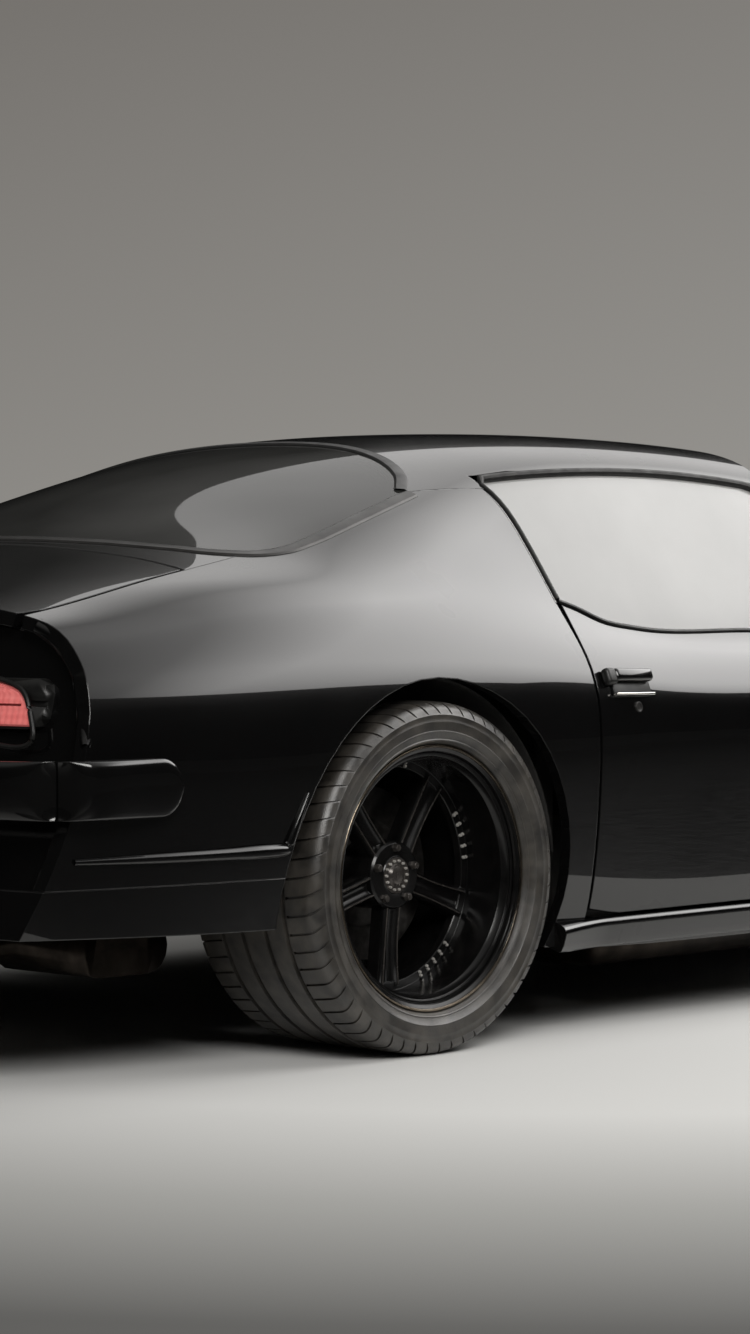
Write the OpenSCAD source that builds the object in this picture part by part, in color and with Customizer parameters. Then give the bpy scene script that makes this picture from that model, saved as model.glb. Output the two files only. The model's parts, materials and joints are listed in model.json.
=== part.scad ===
// Two-door fastback muscle car with a long hood, five-spoke wheels and opening panels.
// Frame: +X forward, +Y left, +Z up, origin on the ground under the middle of the car.

/* [Body] */
// Length from the rear bumper to the nose tip
overall_length = 4780; // [4600:10:5000]
// Width across the rear quarters
body_width = 1870; // [1800:10:1950]
// Height from the ground to the roof
overall_height = 1196; // [1160:4:1280]
// Distance between the axles
wheelbase = 2740; // [2680:10:2860]
// Thickness of the outer panels
panel_t = 22; // [16:1:26]
// Thickness of the roof with its lining
roof_t = 28; // [20:1:36]
// Thickness of a whole door below the glass
door_t = 96; // [80:2:110]
// Gap around the doors and lids
seam = 7.5; // [7:0.5:9]
// Joint line between fixed panels
joint_line = 0.6; // [0.4:0.1:0.9]

/* [Doors and glass] */
// From the rear axle forward to the rear edge of the door
door_rear_setback = 462; // [440:2:500]
// Length of a door
door_length = 1390; // [1340:5:1430]
// Bottom edge of a door above the ground
door_bottom_z = 229; // [220:1:250]
// Thickness of the door glass
side_glass_t = 6; // [4:0.5:8]
// Thickness of the windshield and the back glass
screen_t = 8; // [5:0.5:10]
// Width of a windshield pillar seen from the side
pillar_w = 60; // [45:1:75]

/* [Rear wheels] */
// Outer diameter of a rear tyre
rear_tyre_d = 660; // [630:5:680]
// Width of a rear tyre
rear_tyre_w = 335; // [300:5:340]
// Width of a rear rim between its outer faces
rear_rim_w = 304; // [270:2:310]
// How deep the rear spokes sit inside the rim lip
rear_dish = 104; // [60:2:120]
// Distance between the middles of the rear tyres
rear_track = 1504; // [1490:2:1520]

/* [Front wheels] */
// Outer diameter of a front tyre
front_tyre_d = 650; // [620:5:660]
// Width of a front tyre
front_tyre_w = 275; // [245:5:285]
// Width of a front rim between its outer faces
front_rim_w = 250; // [220:2:256]
// How deep the front spokes sit inside the rim lip
front_dish = 52; // [30:2:70]
// Distance between the middles of the front tyres
front_track = 1532; // [1520:2:1540]

/* [Wheel parts] */
// Diameter of the rim's outer lip
rim_lip_d = 497; // [480:1:505]
// Diameter of the seat that the tyre sits on
bead_d = 457; // [450:1:460]
// Number of spokes
spoke_count = 5; // [4:1:7]
// Width of a spoke at the hub
spoke_w = 78; // [60:2:90]
// Diameter of the axle stub inside the wheel
stub_d = 64; // [50:1:70]
// Diameter of a brake disc
disc_d = 330; // [280:5:340]

/* [Cabin] */
// Height of the cabin floor above the ground
floor_z = 190; // [180:2:210]
// Thickness of the floor sheet
floor_t = 8; // [5:1:12]
// Width of a front seat
seat_w = 490; // [450:5:500]
// Diameter of the steering wheel
steering_d = 370; // [340:5:390]

/* [Hidden] */
// Size at which the section tables below are drawn
pattern_half_w = 935;
pattern_h = 1196;
half_w = body_width / 2;
ky = half_w / pattern_half_w;
kz = overall_height / pattern_h;
// Share of the two overhangs that is behind the rear axle
rear_share = 25 / 51;
rear_overhang = (overall_length - wheelbase) * rear_share;
rear_x = -overall_length / 2 + rear_overhang;
front_x = rear_x + wheelbase;
nose_x = overall_length / 2;
front_overhang = nose_x - front_x;
far = 3000;
touch = 0.3;
run_fit = 0.05;

// Sections of the body side from tail to nose. Columns: station (-1 tail, 0 rear axle, 1 front axle,
// 2 nose), then half width and height of sill, low, belly, waist, crest and hip.
side_rows = [
    [-0.96, 770, 268, 812, 400, 822, 560, 803, 690, 748, 770, 690, 800],
    [-0.70, 830, 262, 868, 400, 880, 560, 862, 692, 795, 786, 710, 826],
    [-0.43, 862, 256, 903, 400, 915, 570, 893, 700, 828, 808, 738, 870],
    [-0.16, 872, 250, 918, 400, 932, 580, 911, 710, 848, 815, 772, 880],
    [0.040, 875, 205, 920, 380, 935, 580, 913, 715, 852, 815, 788, 882],
    [0.139, 868, 170, 908, 320, 926, 560, 906, 700, 852, 792, 797, 865],
    [0.248, 858, 158, 890, 265, 915, 540, 901, 670, 848, 752, 806, 802],
    [0.380, 853, 155, 884, 248, 913, 530, 901, 655, 851, 735, 808, 779],
    [0.547, 851, 155, 882, 248, 910, 530, 898, 655, 850, 735, 806, 777],
    [0.693, 850, 155, 880, 250, 908, 532, 896, 660, 849, 745, 800, 793],
    [0.840, 850, 158, 880, 260, 909, 540, 894, 670, 840, 764, 768, 803],
    [1.000, 850, 215, 888, 370, 914, 560, 894, 690, 828, 778, 742, 806],
    [1.394, 822, 240, 868, 390, 893, 560, 873, 690, 803, 768, 716, 789],
    [1.731, 782, 250, 826, 395, 850, 550, 831, 668, 762, 743, 682, 760],
    [2.067, 735, 258, 778, 395, 800, 540, 781, 642, 716, 706, 640, 720]
];
// Deck, back glass and roof over the first side rows. Columns: half width and height of pillar, rail,
// crown and middle.
roof_rows = [
    [560, 824, 420, 838, 220, 848, 0, 852],
    [575, 852, 425, 868, 222, 880, 0, 885],
    [612, 900, 450, 918, 232, 931, 0, 936],
    [655, 928, 505, 965, 262, 993, 0, 1003],
    [690, 962, 560, 1020, 300, 1075, 0, 1092],
    [703, 980, 584, 1067, 332, 1137, 0, 1156],
    [716, 950, 604, 1112, 350, 1176, 0, 1190],
    [720, 940, 610, 1120, 356, 1184, 0, 1196],
    [712, 922, 598, 1098, 346, 1167, 0, 1180],
    [690, 828, 585, 1035, 336, 1120, 0, 1136]
];
// Hood over the last side rows, with the same columns
hood_rows = [
    [700, 826, 505, 850, 252, 866, 0, 872],
    [692, 828, 500, 850, 250, 866, 0, 872],
    [662, 827, 482, 846, 241, 862, 0, 868],
    [641, 822, 466, 836, 235, 850, 0, 856],
    [616, 800, 451, 811, 230, 823, 0, 828],
    [586, 768, 431, 777, 220, 786, 0, 791],
    [551, 728, 405, 736, 210, 744, 0, 748]
];
side_cols = 6;
top_cols = 4;
first_hood_row = len(side_rows) - len(hood_rows);
v_crest = 4;
v_hip = 5;
v_pillar = 6;
v_mid = side_cols + top_cols - 1;

function along(s) = s < 0 ? rear_x + s * rear_overhang
    : s <= 1 ? rear_x + s * wheelbase
    : front_x + (s - 1) * front_overhang;
function side_points(row) = [for (k = [0:side_cols - 1])
    [along(row[0]), row[1 + 2 * k] * ky, row[2 + 2 * k] * kz]];
function top_points(s, row) = [for (k = [0:top_cols - 1]) [along(s), row[2 * k] * ky, row[2 * k + 1] * kz]];
function flip(p) = [p[0], -p[1], p[2]];
// Pulls a line of points outward so that the smooth curve runs through them
function fair(l) = [for (i = [0:len(l) - 1])
    i == 0 || i == len(l) - 1 ? l[i] : l[i] - (l[i - 1] - 2 * l[i] + l[i + 1]) / 6];
function fair_to_mid(l) = let (n = len(l) - 1)
    [for (i = [0:n]) i < n ? fair(l)[i] : l[n] - (l[n - 1] - 2 * l[n] + flip(l[n - 1])) / 6];
function column(net, j) = [for (row = net) row[j]];
function fair_rows(net) = let (cols = [for (j = [0:len(net[0]) - 1]) fair(column(net, j))])
    [for (i = [0:len(net) - 1]) [for (c = cols) c[i]]];
function pad_row(r) = concat([2 * r[0] - r[1]], r, [flip(r[len(r) - 2])]);
function pad_net(n) = concat([2 * n[0] - n[1]], n, [2 * n[len(n) - 1] - n[len(n) - 2]]);
function make_net(tops) = pad_net([for (r = fair_rows([for (i = [0:len(side_rows) - 1])
    concat(side_points(side_rows[i]), top_points(side_rows[i][0], tops[i]))])) pad_row(fair_to_mid(r))]);
roof_net = make_net([for (i = [0:len(side_rows) - 1]) roof_rows[min(i, len(roof_rows) - 1)]]);
hood_net = make_net([for (i = [0:len(side_rows) - 1]) hood_rows[max(i - first_hood_row, 0)]]);

function blend(t) = [pow(1 - t, 3), 3 * pow(t, 3) - 6 * pow(t, 2) + 4,
    -3 * pow(t, 3) + 3 * pow(t, 2) + 3 * t + 1, pow(t, 3)] / 6;
// Point of the body surface at row u and column v; past the middle it comes down the other side
function skin(net, u, v) = v > v_mid ? flip(skin(net, u, 2 * v_mid - v)) : let (
    i = max(0, min(floor(u), len(net) - 4)),
    j = max(0, min(floor(v), v_mid - 1)),
    bv = blend(v - j))
    blend(u - i) * [for (k = [0:3]) bv * [for (l = [0:3]) net[i + k][j + l]]];
small = 0.01;
function unit(v) = v / norm(v);
function skin_out(net, u, v) = unit(cross(skin(net, u, v + small) - skin(net, u, v - small),
    skin(net, u + small, v) - skin(net, u - small, v)));
function section_out(net, u, v) = let (n = skin_out(net, u, v)) unit([0, n[1], n[2]]);
search_steps = 24;
function row_at(net, x, lo = 0, hi = len(side_rows) - 1, n = search_steps) = n == 0 ? (lo + hi) / 2
    : let (m = (lo + hi) / 2) skin(net, m, 0)[0] < x ? row_at(net, x, m, hi, n - 1)
    : row_at(net, x, lo, m, n - 1);
function col_at_y(net, u, y, lo = v_crest, hi = v_mid, n = search_steps) = n == 0 ? (lo + hi) / 2
    : let (m = (lo + hi) / 2) skin(net, u, m)[1] > y ? col_at_y(net, u, y, m, hi, n - 1)
    : col_at_y(net, u, y, lo, m, n - 1);
function top_z(net, x, y) = let (u = row_at(net, x)) skin(net, u, col_at_y(net, u, abs(y)))[2];
function mix(a, b, t) = a + (b - a) * t;

function tri_pair(q) = [[q[0], q[1], q[2]], [q[0], q[2], q[3]]];
function flat(l) = [for (a = l) for (b = a) b];
// Closed plate between two grids of points with n by m cells
function plate_faces(n, m) = let (
    w = m + 1,
    half = (n + 1) * w,
    cells = [for (i = [0:n - 1]) for (j = [0:m - 1]) let (a = i * w + j)
        [a, a + w, a + w + 1, a + 1]],
    outer = flat([for (c = cells) tri_pair(c)]),
    inner = [for (f = outer) [half + f[0], half + f[2], half + f[1]]],
    ends_j = flat([for (i = [0:n - 1]) let (a = i * w, b = a + w, c = a + m, d = b + m)
        concat(tri_pair([b, a, half + a, half + b]), tri_pair([c, d, half + d, half + c]))]),
    ends_i = flat([for (j = [0:m - 1]) let (a = j, b = j + 1, c = n * w + j, d = c + 1)
        concat(tri_pair([a, b, half + b, half + a]), tri_pair([d, c, half + c, half + d]))]))
    concat(outer, inner, ends_j, ends_i);
module plate(outer, inner, n, m) {
    polyhedron(points = concat(outer, inner), faces = plate_faces(n, m));
}
// Panel of the body skin, t thick along its normal, or straight inward where level is true
module panel(net, u0, u1, n, v0, v1, m, t, level = false) {
    grid = [for (i = [0:n]) for (j = [0:m]) [mix(u0, u1, i / n), mix(v0, v1, j / m)]];
    outer = [for (g = grid) skin(net, g[0], g[1])];
    inner = [for (k = [0:len(grid) - 1])
        outer[k] - t * (level ? [0, 1, 0] : skin_out(net, grid[k][0], grid[k][1]))];
    plate(outer, inner, n, m);
}
// Solid inside the body skin, kept inset from it
module core(net, u0, u1, n, v0, m, inset) {
    k = 2 * m + 1;
    pts = [for (i = [0:n]) for (j = [0:k - 1]) let (
        u = mix(u0, u1, i / n),
        v = mix(v0, v_mid, j / m),
        p = skin(net, u, min(v, 2 * v_mid - v)) - inset * section_out(net, u, min(v, 2 * v_mid - v)))
        v > v_mid ? flip(p) : p];
    walls = flat([for (i = [0:n - 1]) for (j = [0:k - 1]) let (a = i * k, b = a + k, c = (j + 1) % k)
        tri_pair([a + j, b + j, b + c, a + c])]);
    caps = [[for (j = [0:k - 1]) j], [for (j = [0:k - 1]) n * k + k - 1 - j]];
    polyhedron(points = pts, faces = concat(walls, caps));
}
// One closed skin after its edges are trimmed
module trimmed() {
    resize([0, 0, 0]) children();
}
module side_prism(outline, y0, y1) {
    translate([0, y1, 0]) rotate([90, 0, 0]) linear_extrude(y1 - y0) polygon(outline);
}
module plan_prism(outline, z0 = 0, z1 = far) {
    translate([0, 0, z0]) linear_extrude(z1 - z0) polygon(outline);
}
module block(lo, hi) {
    translate(lo) cube(hi - lo);
}
module right() {
    mirror([0, 1, 0]) children();
}
module both_sides() {
    children();
    right() children();
}
module along_y(r, y0, y1) {
    translate([0, y0, 0]) rotate([-90, 0, 0]) cylinder(r = r, h = y1 - y0);
}

/* Lines where the panels meet, seen from the side and from above */
paint = [0.03, 0.03, 0.035];
arch_sides = 48;
rear_arch_r = rear_tyre_d / 2 + 50;
front_arch_r = front_tyre_d / 2 + 47;
arch_lift = -8;
rocker_top_z = door_bottom_z - seam;
rocker_in_y = half_w - 155;
ledge_z = 352 * kz;
door_rear_x = rear_x + door_rear_setback;
door_front_x = door_rear_x + door_length;
// Tail face: a shallow arc in plan that leans forward at the top
tail_x = rear_x - rear_overhang + 95;
tail_z = 600 * kz;
tail_r = 4450;
tail_lean = 13;
arc_sides = 72;
corner_sides = 10;
// Nose face: a stronger arc that leans back at the top
nose_z = 430 * kz;
nose_r = 1800;
nose_lean = -7;
nose_l = 210;
valance_top_z = nose_z;
valance_inset = 26;
// Back glass seen from above, from its top middle to its base middle. Columns: distance ahead of the rear
// axle, half width.
back_glass_line = [[452, 0], [446, 150], [425, 300], [385, 430], [340, 510], [286, 562], [180, 582],
    [60, 603], [-60, 622], [-130, 628], [-190, 612], [-232, 570], [-262, 480], [-284, 300], [-296, 0]];
glass_tip = 5;
lid_front_x = rear_x - 385;
lid_half_front = 634 * ky;
lid_half_rear = 676 * ky;
// Lower edge of the roof over the side windows. Columns: distance ahead of the rear axle, height.
roof_edge_line = [[380, 1080], [560, 1100], [760, 1111], [1120, 1104], [1300, 1088], [1500, 1060]];
header_x = door_rear_x + 958;
header_bow = 52;
header_half = 575 * ky;
// Windshield foot, with its curve seen from above
screen_foot_x = door_front_x + 98;
screen_foot_bow = 130;
screen_foot_half = 768 * ky;
cowl_drop = 84;
hood_rear_x = screen_foot_x + 78;
hood_rear_bow = 130;
hood_half_rear = 690 * ky;
hood_half_front = 588 * ky;
// Front edge of the door glass: foot and top, seen from the side
glass_front_foot = [door_front_x - 75, 785 * kz];
glass_front_top = [door_front_x - 560, 1085 * kz];
pillar_gap = 8;

module arch_cut(x, d, r, t = 0) {
    translate([x, 0, d / 2 + arch_lift]) rotate([90, 0, 0])
        cylinder(r = r - t, h = 2 * far, center = true, $fn = arch_sides);
}
module rear_arch(t = 0) {
    arch_cut(rear_x, rear_tyre_d, rear_arch_r, t);
}
module front_arch(t = 0) {
    arch_cut(front_x, front_tyre_d, front_arch_r, t);
}
// Space ahead of the tail face
module before_tail(shift = 0) {
    translate([tail_x + shift, 0, tail_z]) rotate([0, tail_lean, 0])
        translate([tail_r, 0, -far]) cylinder(r = tail_r, h = 2 * far, $fn = arc_sides);
}
// Space behind the nose face
module behind_nose(shift = 0) {
    translate([nose_x - shift, 0, nose_z]) rotate([0, nose_lean, 0])
        translate([-nose_r, 0, -far]) cylinder(r = nose_r, h = 2 * far, $fn = arc_sides);
}
function mirrored(half) = concat(half, [for (i = [len(half) - 1:-1:0]) if (half[i][1] > 0)
    [half[i][0], -half[i][1]]]);
function scaled_line(line, f) = [for (p = line) [rear_x + p[0], p[1] * f]];
function back_glass_half() = scaled_line(back_glass_line, ky);
module back_glass_opening(grow = 0) {
    linear_extrude(far) offset(delta = grow) polygon(mirrored(back_glass_half()));
}
// Deck opening: filler and lid together, from the back glass to the tail
module deck_opening(grow = 0) {
    base = [for (i = [10:len(back_glass_line) - 1]) back_glass_half()[i]];
    half = concat([[-far, 0], [-far, lid_half_rear], [tail_x, lid_half_rear], [lid_front_x, lid_half_front],
        [base[0][0], base[0][1]]], base);
    linear_extrude(far) offset(delta = grow) polygon(mirrored(half));
}
function header_points(shift = 0) = [for (y = [0:0.25:1.5])
    [header_x - shift - header_bow * y * y, y * header_half]];
// Roof seen from above
module roof_outline() {
    glass = [for (i = [glass_tip:-1:0]) back_glass_half()[i]];
    half = concat(header_points(), [[door_rear_x, far], [door_rear_x, 612 * ky]], glass);
    linear_extrude(far) polygon(mirrored(half));
}
// Roof edge over the side windows, open below
module below_roof_edge(grow = 0) {
    line = concat([[door_rear_x, roof_edge_z(door_rear_x) + grow]],
        [for (p = roof_edge_line) if (p[0] > door_rear_setback) [rear_x + p[0], p[1] * kz + grow]]);
    side_prism(concat([[door_rear_x, 0]], line, [[line[len(line) - 1][0], 0]]), -far, far);
}

/* Fixed body panels */
module roof() color(paint) trimmed() difference() {
    intersection() {
        panel(roof_net, 4, 8, 9, v_pillar, 2 * v_mid - v_pillar, 12, roof_t);
        roof_outline();
    }
    below_roof_edge();
}
module quarter() {
    bottom_z = rocker_top_z + joint_line;
    difference() {
        intersection() {
            panel(roof_net, 0, 6, 13, 0, 8.8, 13, panel_t);
            before_tail();
        }
        rear_arch();
        block([door_rear_x - seam, -far, 0], [far, far, far]);
        block([-far, -far, 0], [rear_x, far, ledge_z]);
        block([rear_x, -far, 0], [far, far, bottom_z]);
        back_glass_opening(joint_line);
        deck_opening(joint_line);
        roof_side();
    }
}
// Space over the roof panel, grown by the joint line
module roof_side() {
    glass = [for (i = [glass_tip:-1:0]) back_glass_half()[i]];
    half = concat([[far, 0], [far, 612 * ky], [door_rear_x, 612 * ky]], glass);
    linear_extrude(far) offset(delta = joint_line) polygon(mirrored(half));
}
module quarters() color(paint) both_sides() trimmed() quarter();
// Bracket and pin that carry one arm of the deck lid
lid_t = 24;
lid_axis_x = lid_front_x + 95;
lid_axis_y = 520 * ky;
lid_axis_z = top_z(roof_net, lid_axis_x, lid_axis_y) - 45;
lid_axis = [lid_axis_x, lid_axis_y, lid_axis_z];
pin_r = 7;
arm_t = 16;
ear_t = 10;
ear_gap = 2;
arm_w = 20;
arm_drop = 125;
arm_back = 165;
arm_rise = 12;
ear_r = arm_w / 2 + 2;
ear_rise = 14;
pin_sides = 16;
round_sides = 48;
module lid_ear(y) {
    translate([lid_axis_x, y, lid_axis_z]) {
        along_y(ear_r, 0, ear_t, $fn = pin_sides);
        block([-ear_r, 0, 0], [ear_r, ear_t, panel_t + ear_rise]);
    }
}
module lid_bracket() {
    reach = arm_t / 2 + ear_gap;
    lid_ear(lid_axis_y - reach - ear_t);
    lid_ear(lid_axis_y + reach);
}
// Pin through both ears and the arm or lug between them
module hinge_rod(axis, slack = 0) {
    reach = arm_t / 2 + ear_gap + ear_t / 2;
    both_sides() translate(axis) along_y(pin_r + slack, -reach, reach, $fn = round_sides);
}
tail_inset = 30;
tail_wall = 24;
inner_gap = 3;
// Filler under the back glass and the sunk panel between the tail lamps
module rear_panels() color(paint) {
    trimmed() {
        difference() {
            intersection() {
                panel(roof_net, 1, 4, 6, 5.4, 2 * v_mid - 5.4, 10, panel_t);
                deck_opening();
            }
            behind_lid_line(seam);
            back_glass_opening(joint_line);
        }
        both_sides() lid_bracket();
    }
    hinge_rod(lid_axis);
    trimmed() difference() {
        intersection() {
            core(roof_net, 0, 2, 4, 0.3, 9, panel_t + inner_gap);
            before_tail(tail_inset);
            block([-far, -far, ledge_z - 20], [far, far, far]);
        }
        before_tail(tail_inset + tail_wall);
        lid_shape(seam);
    }
}
// Space behind the lid's front edge, which slopes so that the lid lifts clear of the filler
lid_slope = 0.62;
module behind_lid_line(shift) {
    foot_x = lid_front_x + shift - top_z(roof_net, lid_front_x, lid_half_front) * lid_slope;
    side_prism([[foot_x, 0], [foot_x + far * lid_slope, far], [-far, far], [-far, 0]], -far, far);
}
// Deck lid panel, grown sideways for clearance
module lid_shape(grow = 0) {
    intersection() {
        panel(roof_net, 0, 2.6, 7, 5.4, 2 * v_mid - 5.4, 10, lid_t + 1.5 * grow);
        deck_opening(grow - seam);
        before_tail(-grow);
        behind_lid_line(0);
    }
}
module lid_arm() {
    translate([lid_axis_x, lid_axis_y + arm_t / 2, lid_axis_z]) rotate([90, 0, 0]) linear_extrude(arm_t)
        union() {
            circle(r = ear_r, $fn = pin_sides);
            translate([-arm_w / 2, -arm_drop - arm_w / 2]) square([arm_w, arm_drop + arm_w / 2]);
            translate([-arm_back - arm_w / 2, -arm_drop - arm_w / 2]) square([arm_back + arm_w, arm_w]);
            translate([-arm_back - arm_w / 2, -arm_drop]) square([arm_w, arm_drop + arm_rise]);
        }
}
module deck_lid() color(paint) difference() {
    trimmed() {
        lid_shape();
        both_sides() intersection() {
            lid_arm();
            core(roof_net, 0, 4, 4, 3, 7, lid_t / 2);
        }
    }
    hinge_rod(lid_axis, run_fit);
}

// Rear bumper bar seen from above. Columns: distance behind the rear axle, half width, half thickness.
bumper_line = [[640, 899, 10], [740, 893, 14], [825, 884, 19], [900, 836, 24], [946, 690, 25],
    [967, 400, 25], [975, 0, 25]];
bumper_z = 526 * kz;
bumper_half_h = 51;
bumper_steps = 13;
bumper_round = 8;
bumper_table = [for (p = bumper_line) [rear_x - p[0] / 1000 * rear_overhang, p[1] * ky, p[2]]];
bumper_net = let (l = fair(bumper_table)) concat([2 * l[0] - l[1]], l, [flip(l[len(l) - 2])]);
function bumper_at(t) = let (i = min(floor(t), len(bumper_net) - 4))
    blend(t - i) * [for (k = [0:3]) bumper_net[i + k]];
function squircle(a) = [sign(cos(a)) * pow(abs(cos(a)), 0.6), sign(sin(a)) * pow(abs(sin(a)), 0.6)];
function bumper_ring(t, side) = let (
    p = bumper_at(t),
    d = bumper_at(min(t + small, len(bumper_line) - 1)) - bumper_at(max(t - small, 0)),
    out = unit([d[1], -d[0], 0]))
    [for (k = [0:bumper_round - 1]) let (s = squircle(360 * k / bumper_round))
        [p[0] + out[0] * s[0] * p[2], side * (p[1] + out[1] * s[0] * p[2]), bumper_z + s[1] * bumper_half_h]];
module bumper_half_bar(side) {
    last = len(bumper_line) - 1;
    rings = [for (i = [0:bumper_steps]) bumper_ring(last * i / bumper_steps, side)];
    n = bumper_round;
    walls = flat([for (i = [0:bumper_steps - 1]) for (k = [0:n - 1])
        let (a = i * n, b = a + n, c = (k + 1) % n)
        tri_pair(side > 0 ? [a + k, a + c, b + c, b + k] : [b + k, b + c, a + c, a + k])]);
    cap0 = [for (k = [0:n - 1]) k];
    cap1 = [for (k = [0:n - 1]) bumper_steps * n + n - 1 - k];
    caps = side > 0 ? [[for (k = [n - 1:-1:0]) k], [for (k = [0:n - 1]) bumper_steps * n + k]] : [cap0, cap1];
    polyhedron(points = flat(rings), faces = concat(walls, caps));
}
iron_y = 430;
iron_w = 60;
iron_h = 50;
iron_out = 60;
iron_in = 120;
module rear_bumper() color(paint) trimmed() {
    bumper_half_bar(1);
    bumper_half_bar(-1);
    both_sides() difference() {
        block([tail_x - iron_out, iron_y, bumper_z - iron_h / 2],
            [tail_x + iron_in, iron_y + iron_w, bumper_z + iron_h / 2]);
        before_tail(tail_inset - touch);
    }
}
// Lower panels under the tail and under the nose
slot_half_w = 520;
slot_low_z = 300;
slot_high_z = 372;
slot_round = 30;
module rear_valance() color(paint) trimmed() {
    difference() {
        intersection() {
            union() {
                both_sides() panel(roof_net, 0, 3, 7, 0, 1.4, 3, panel_t);
                difference() {
                    core(roof_net, 0, 2, 4, 0, 9, 1);
                    before_tail(panel_t);
                }
            }
            before_tail();
            block([-far, -far, 0], [rear_x, far, ledge_z - joint_line]);
        }
        rear_arch();
    }
}
module front_valance() color(paint) trimmed() {
    difference() {
        intersection() {
            union() {
                both_sides() panel(hood_net, 11, 14, 7, 0, 2, 4, panel_t);
                difference() {
                    core(hood_net, 12, 14, 4, 0, 9, 1);
                    behind_nose(valance_inset + panel_t);
                }
            }
            behind_nose(valance_inset);
            block([front_x, -far, 0], [far, far, valance_top_z - joint_line]);
        }
        front_arch();
        translate([0, 0, slot_low_z * kz]) rotate([90, 0, 90]) linear_extrude(far)
            offset(r = slot_round, $fn = corner_sides) offset(delta = -slot_round)
                translate([-slot_half_w * ky, 0])
                    square([2 * slot_half_w * ky, (slot_high_z - slot_low_z) * kz]);
    }
}
module rocker() trimmed() difference() {
    intersection() {
        panel(roof_net, 4.2, 10.6, 14, 0, 1, 3, 200, true);
        block([-far, rocker_in_y + touch, 0], [far, far, rocker_top_z]);
    }
    rear_arch();
    front_arch();
}
module rockers() color(paint) both_sides() rocker();

// Hood seen from above: rear curve, tapered sides and the nose arc in front
module hood_plan(grow) {
    half = concat([for (y = [0:0.125:1])
        [hood_rear_x - hood_rear_bow * y * y - grow, y * (hood_half_rear + grow)]],
        [[nose_x, hood_half_front + grow], [nose_x, 0]]);
    linear_extrude(far) polygon(mirrored(half));
}
module fender() trimmed() difference() {
    intersection() {
        panel(hood_net, 8, 13.4, 12, 0, 6.4, 10, panel_t);
        behind_nose(nose_l + joint_line / 2);
    }
    front_arch();
    block([-far, -far, 0], [door_front_x + seam, far, far]);
    block([-far, -far, 0], [front_x, far, rocker_top_z + joint_line]);
    block([front_x, -far, 0], [far, far, valance_top_z]);
    hood_plan(0);
    block([-far, -far, 0], [hood_rear_x, hood_half_rear, far]);
}
module fenders() color(paint) both_sides() fender();

// Openings of the nose. Grille mouth: inner and outer half width, lower and upper height.
mouth_in = 46;
mouth_out = 500;
mouth_low_z = 540;
mouth_high_z = 668;
mouth_round = 44;
lamp_y = 636;
lamp_z = 604;
lamp_r = 92;
module mouth_outline(grow = 0) {
    offset(r = mouth_round, $fn = corner_sides) offset(delta = grow - mouth_round) polygon([
        [mouth_in * ky, mouth_low_z * kz], [mouth_out * ky, (mouth_low_z + 16) * kz],
        [mouth_out * ky, (mouth_high_z - 22) * kz], [mouth_in * ky, mouth_high_z * kz]]);
}
module through_nose() {
    translate([front_x, 0, 0]) rotate([90, 0, 90]) linear_extrude(far) children();
}
module nose() color(paint) trimmed() difference() {
    intersection() {
        union() {
            panel(hood_net, 12, 14, 4, 0.9, 2 * v_mid - 0.9, 22, panel_t);
            difference() {
                core(hood_net, 12, 14, 3, 0.9, 9, 1);
                behind_nose(60);
            }
        }
        behind_nose();
        block([front_x, -far, valance_top_z], [far, far, far]);
    }
    behind_nose(nose_l);
    both_sides() through_nose() mouth_outline();
    both_sides() through_nose() translate([lamp_y * ky, lamp_z * kz]) circle(r = lamp_r + 1, $fn = 24);
}
grille_bars = 4;
bar_t = 7;
grille_depth = 22;
grille_pitch = 150;
grille_sunk = 26;
module grille_pattern() {
    pitch = (mouth_high_z - mouth_low_z) * kz / (grille_bars + 1);
    for (i = [1:grille_bars])
        translate([0, mouth_low_z * kz + i * pitch - bar_t / 2]) square([half_w, bar_t]);
    for (y = [mouth_in * ky + grille_pitch / 2 : grille_pitch : mouth_out * ky])
        translate([y, mouth_low_z * kz - pitch]) square([bar_t, 2 * half_w]);
}
module grille() color([0.05, 0.05, 0.05]) both_sides() trimmed() difference() {
    intersection() {
        through_nose() intersection() {
            mouth_outline(-touch);
            union() {
                grille_pattern();
                difference() {
                    mouth_outline(-touch);
                    mouth_outline(-bar_t);
                }
            }
        }
        behind_nose(grille_sunk);
    }
    behind_nose(grille_sunk + grille_depth);
}
lamp_depth = 70;
lamp_glass_bulge = 12;
function nose_face_x(y, z) = nose_x - nose_r + sqrt(nose_r * nose_r - y * y) + (z - nose_z) * tan(nose_lean);
module headlamps() color([0.85, 0.87, 0.9]) both_sides()
    translate([nose_face_x(lamp_y * ky, lamp_z * kz) - 24, lamp_y * ky, lamp_z * kz]) rotate([0, 90, 0])
        rotate_extrude() polygon([[0, -lamp_depth], [lamp_r * 0.55, -lamp_depth], [lamp_r - touch, -18],
            [lamp_r - touch, 0], [lamp_r - 10, 0], [lamp_r * 0.6, lamp_glass_bulge * 0.7],
            [lamp_r * 0.3, lamp_glass_bulge * 0.95], [0, lamp_glass_bulge]]);
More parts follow.
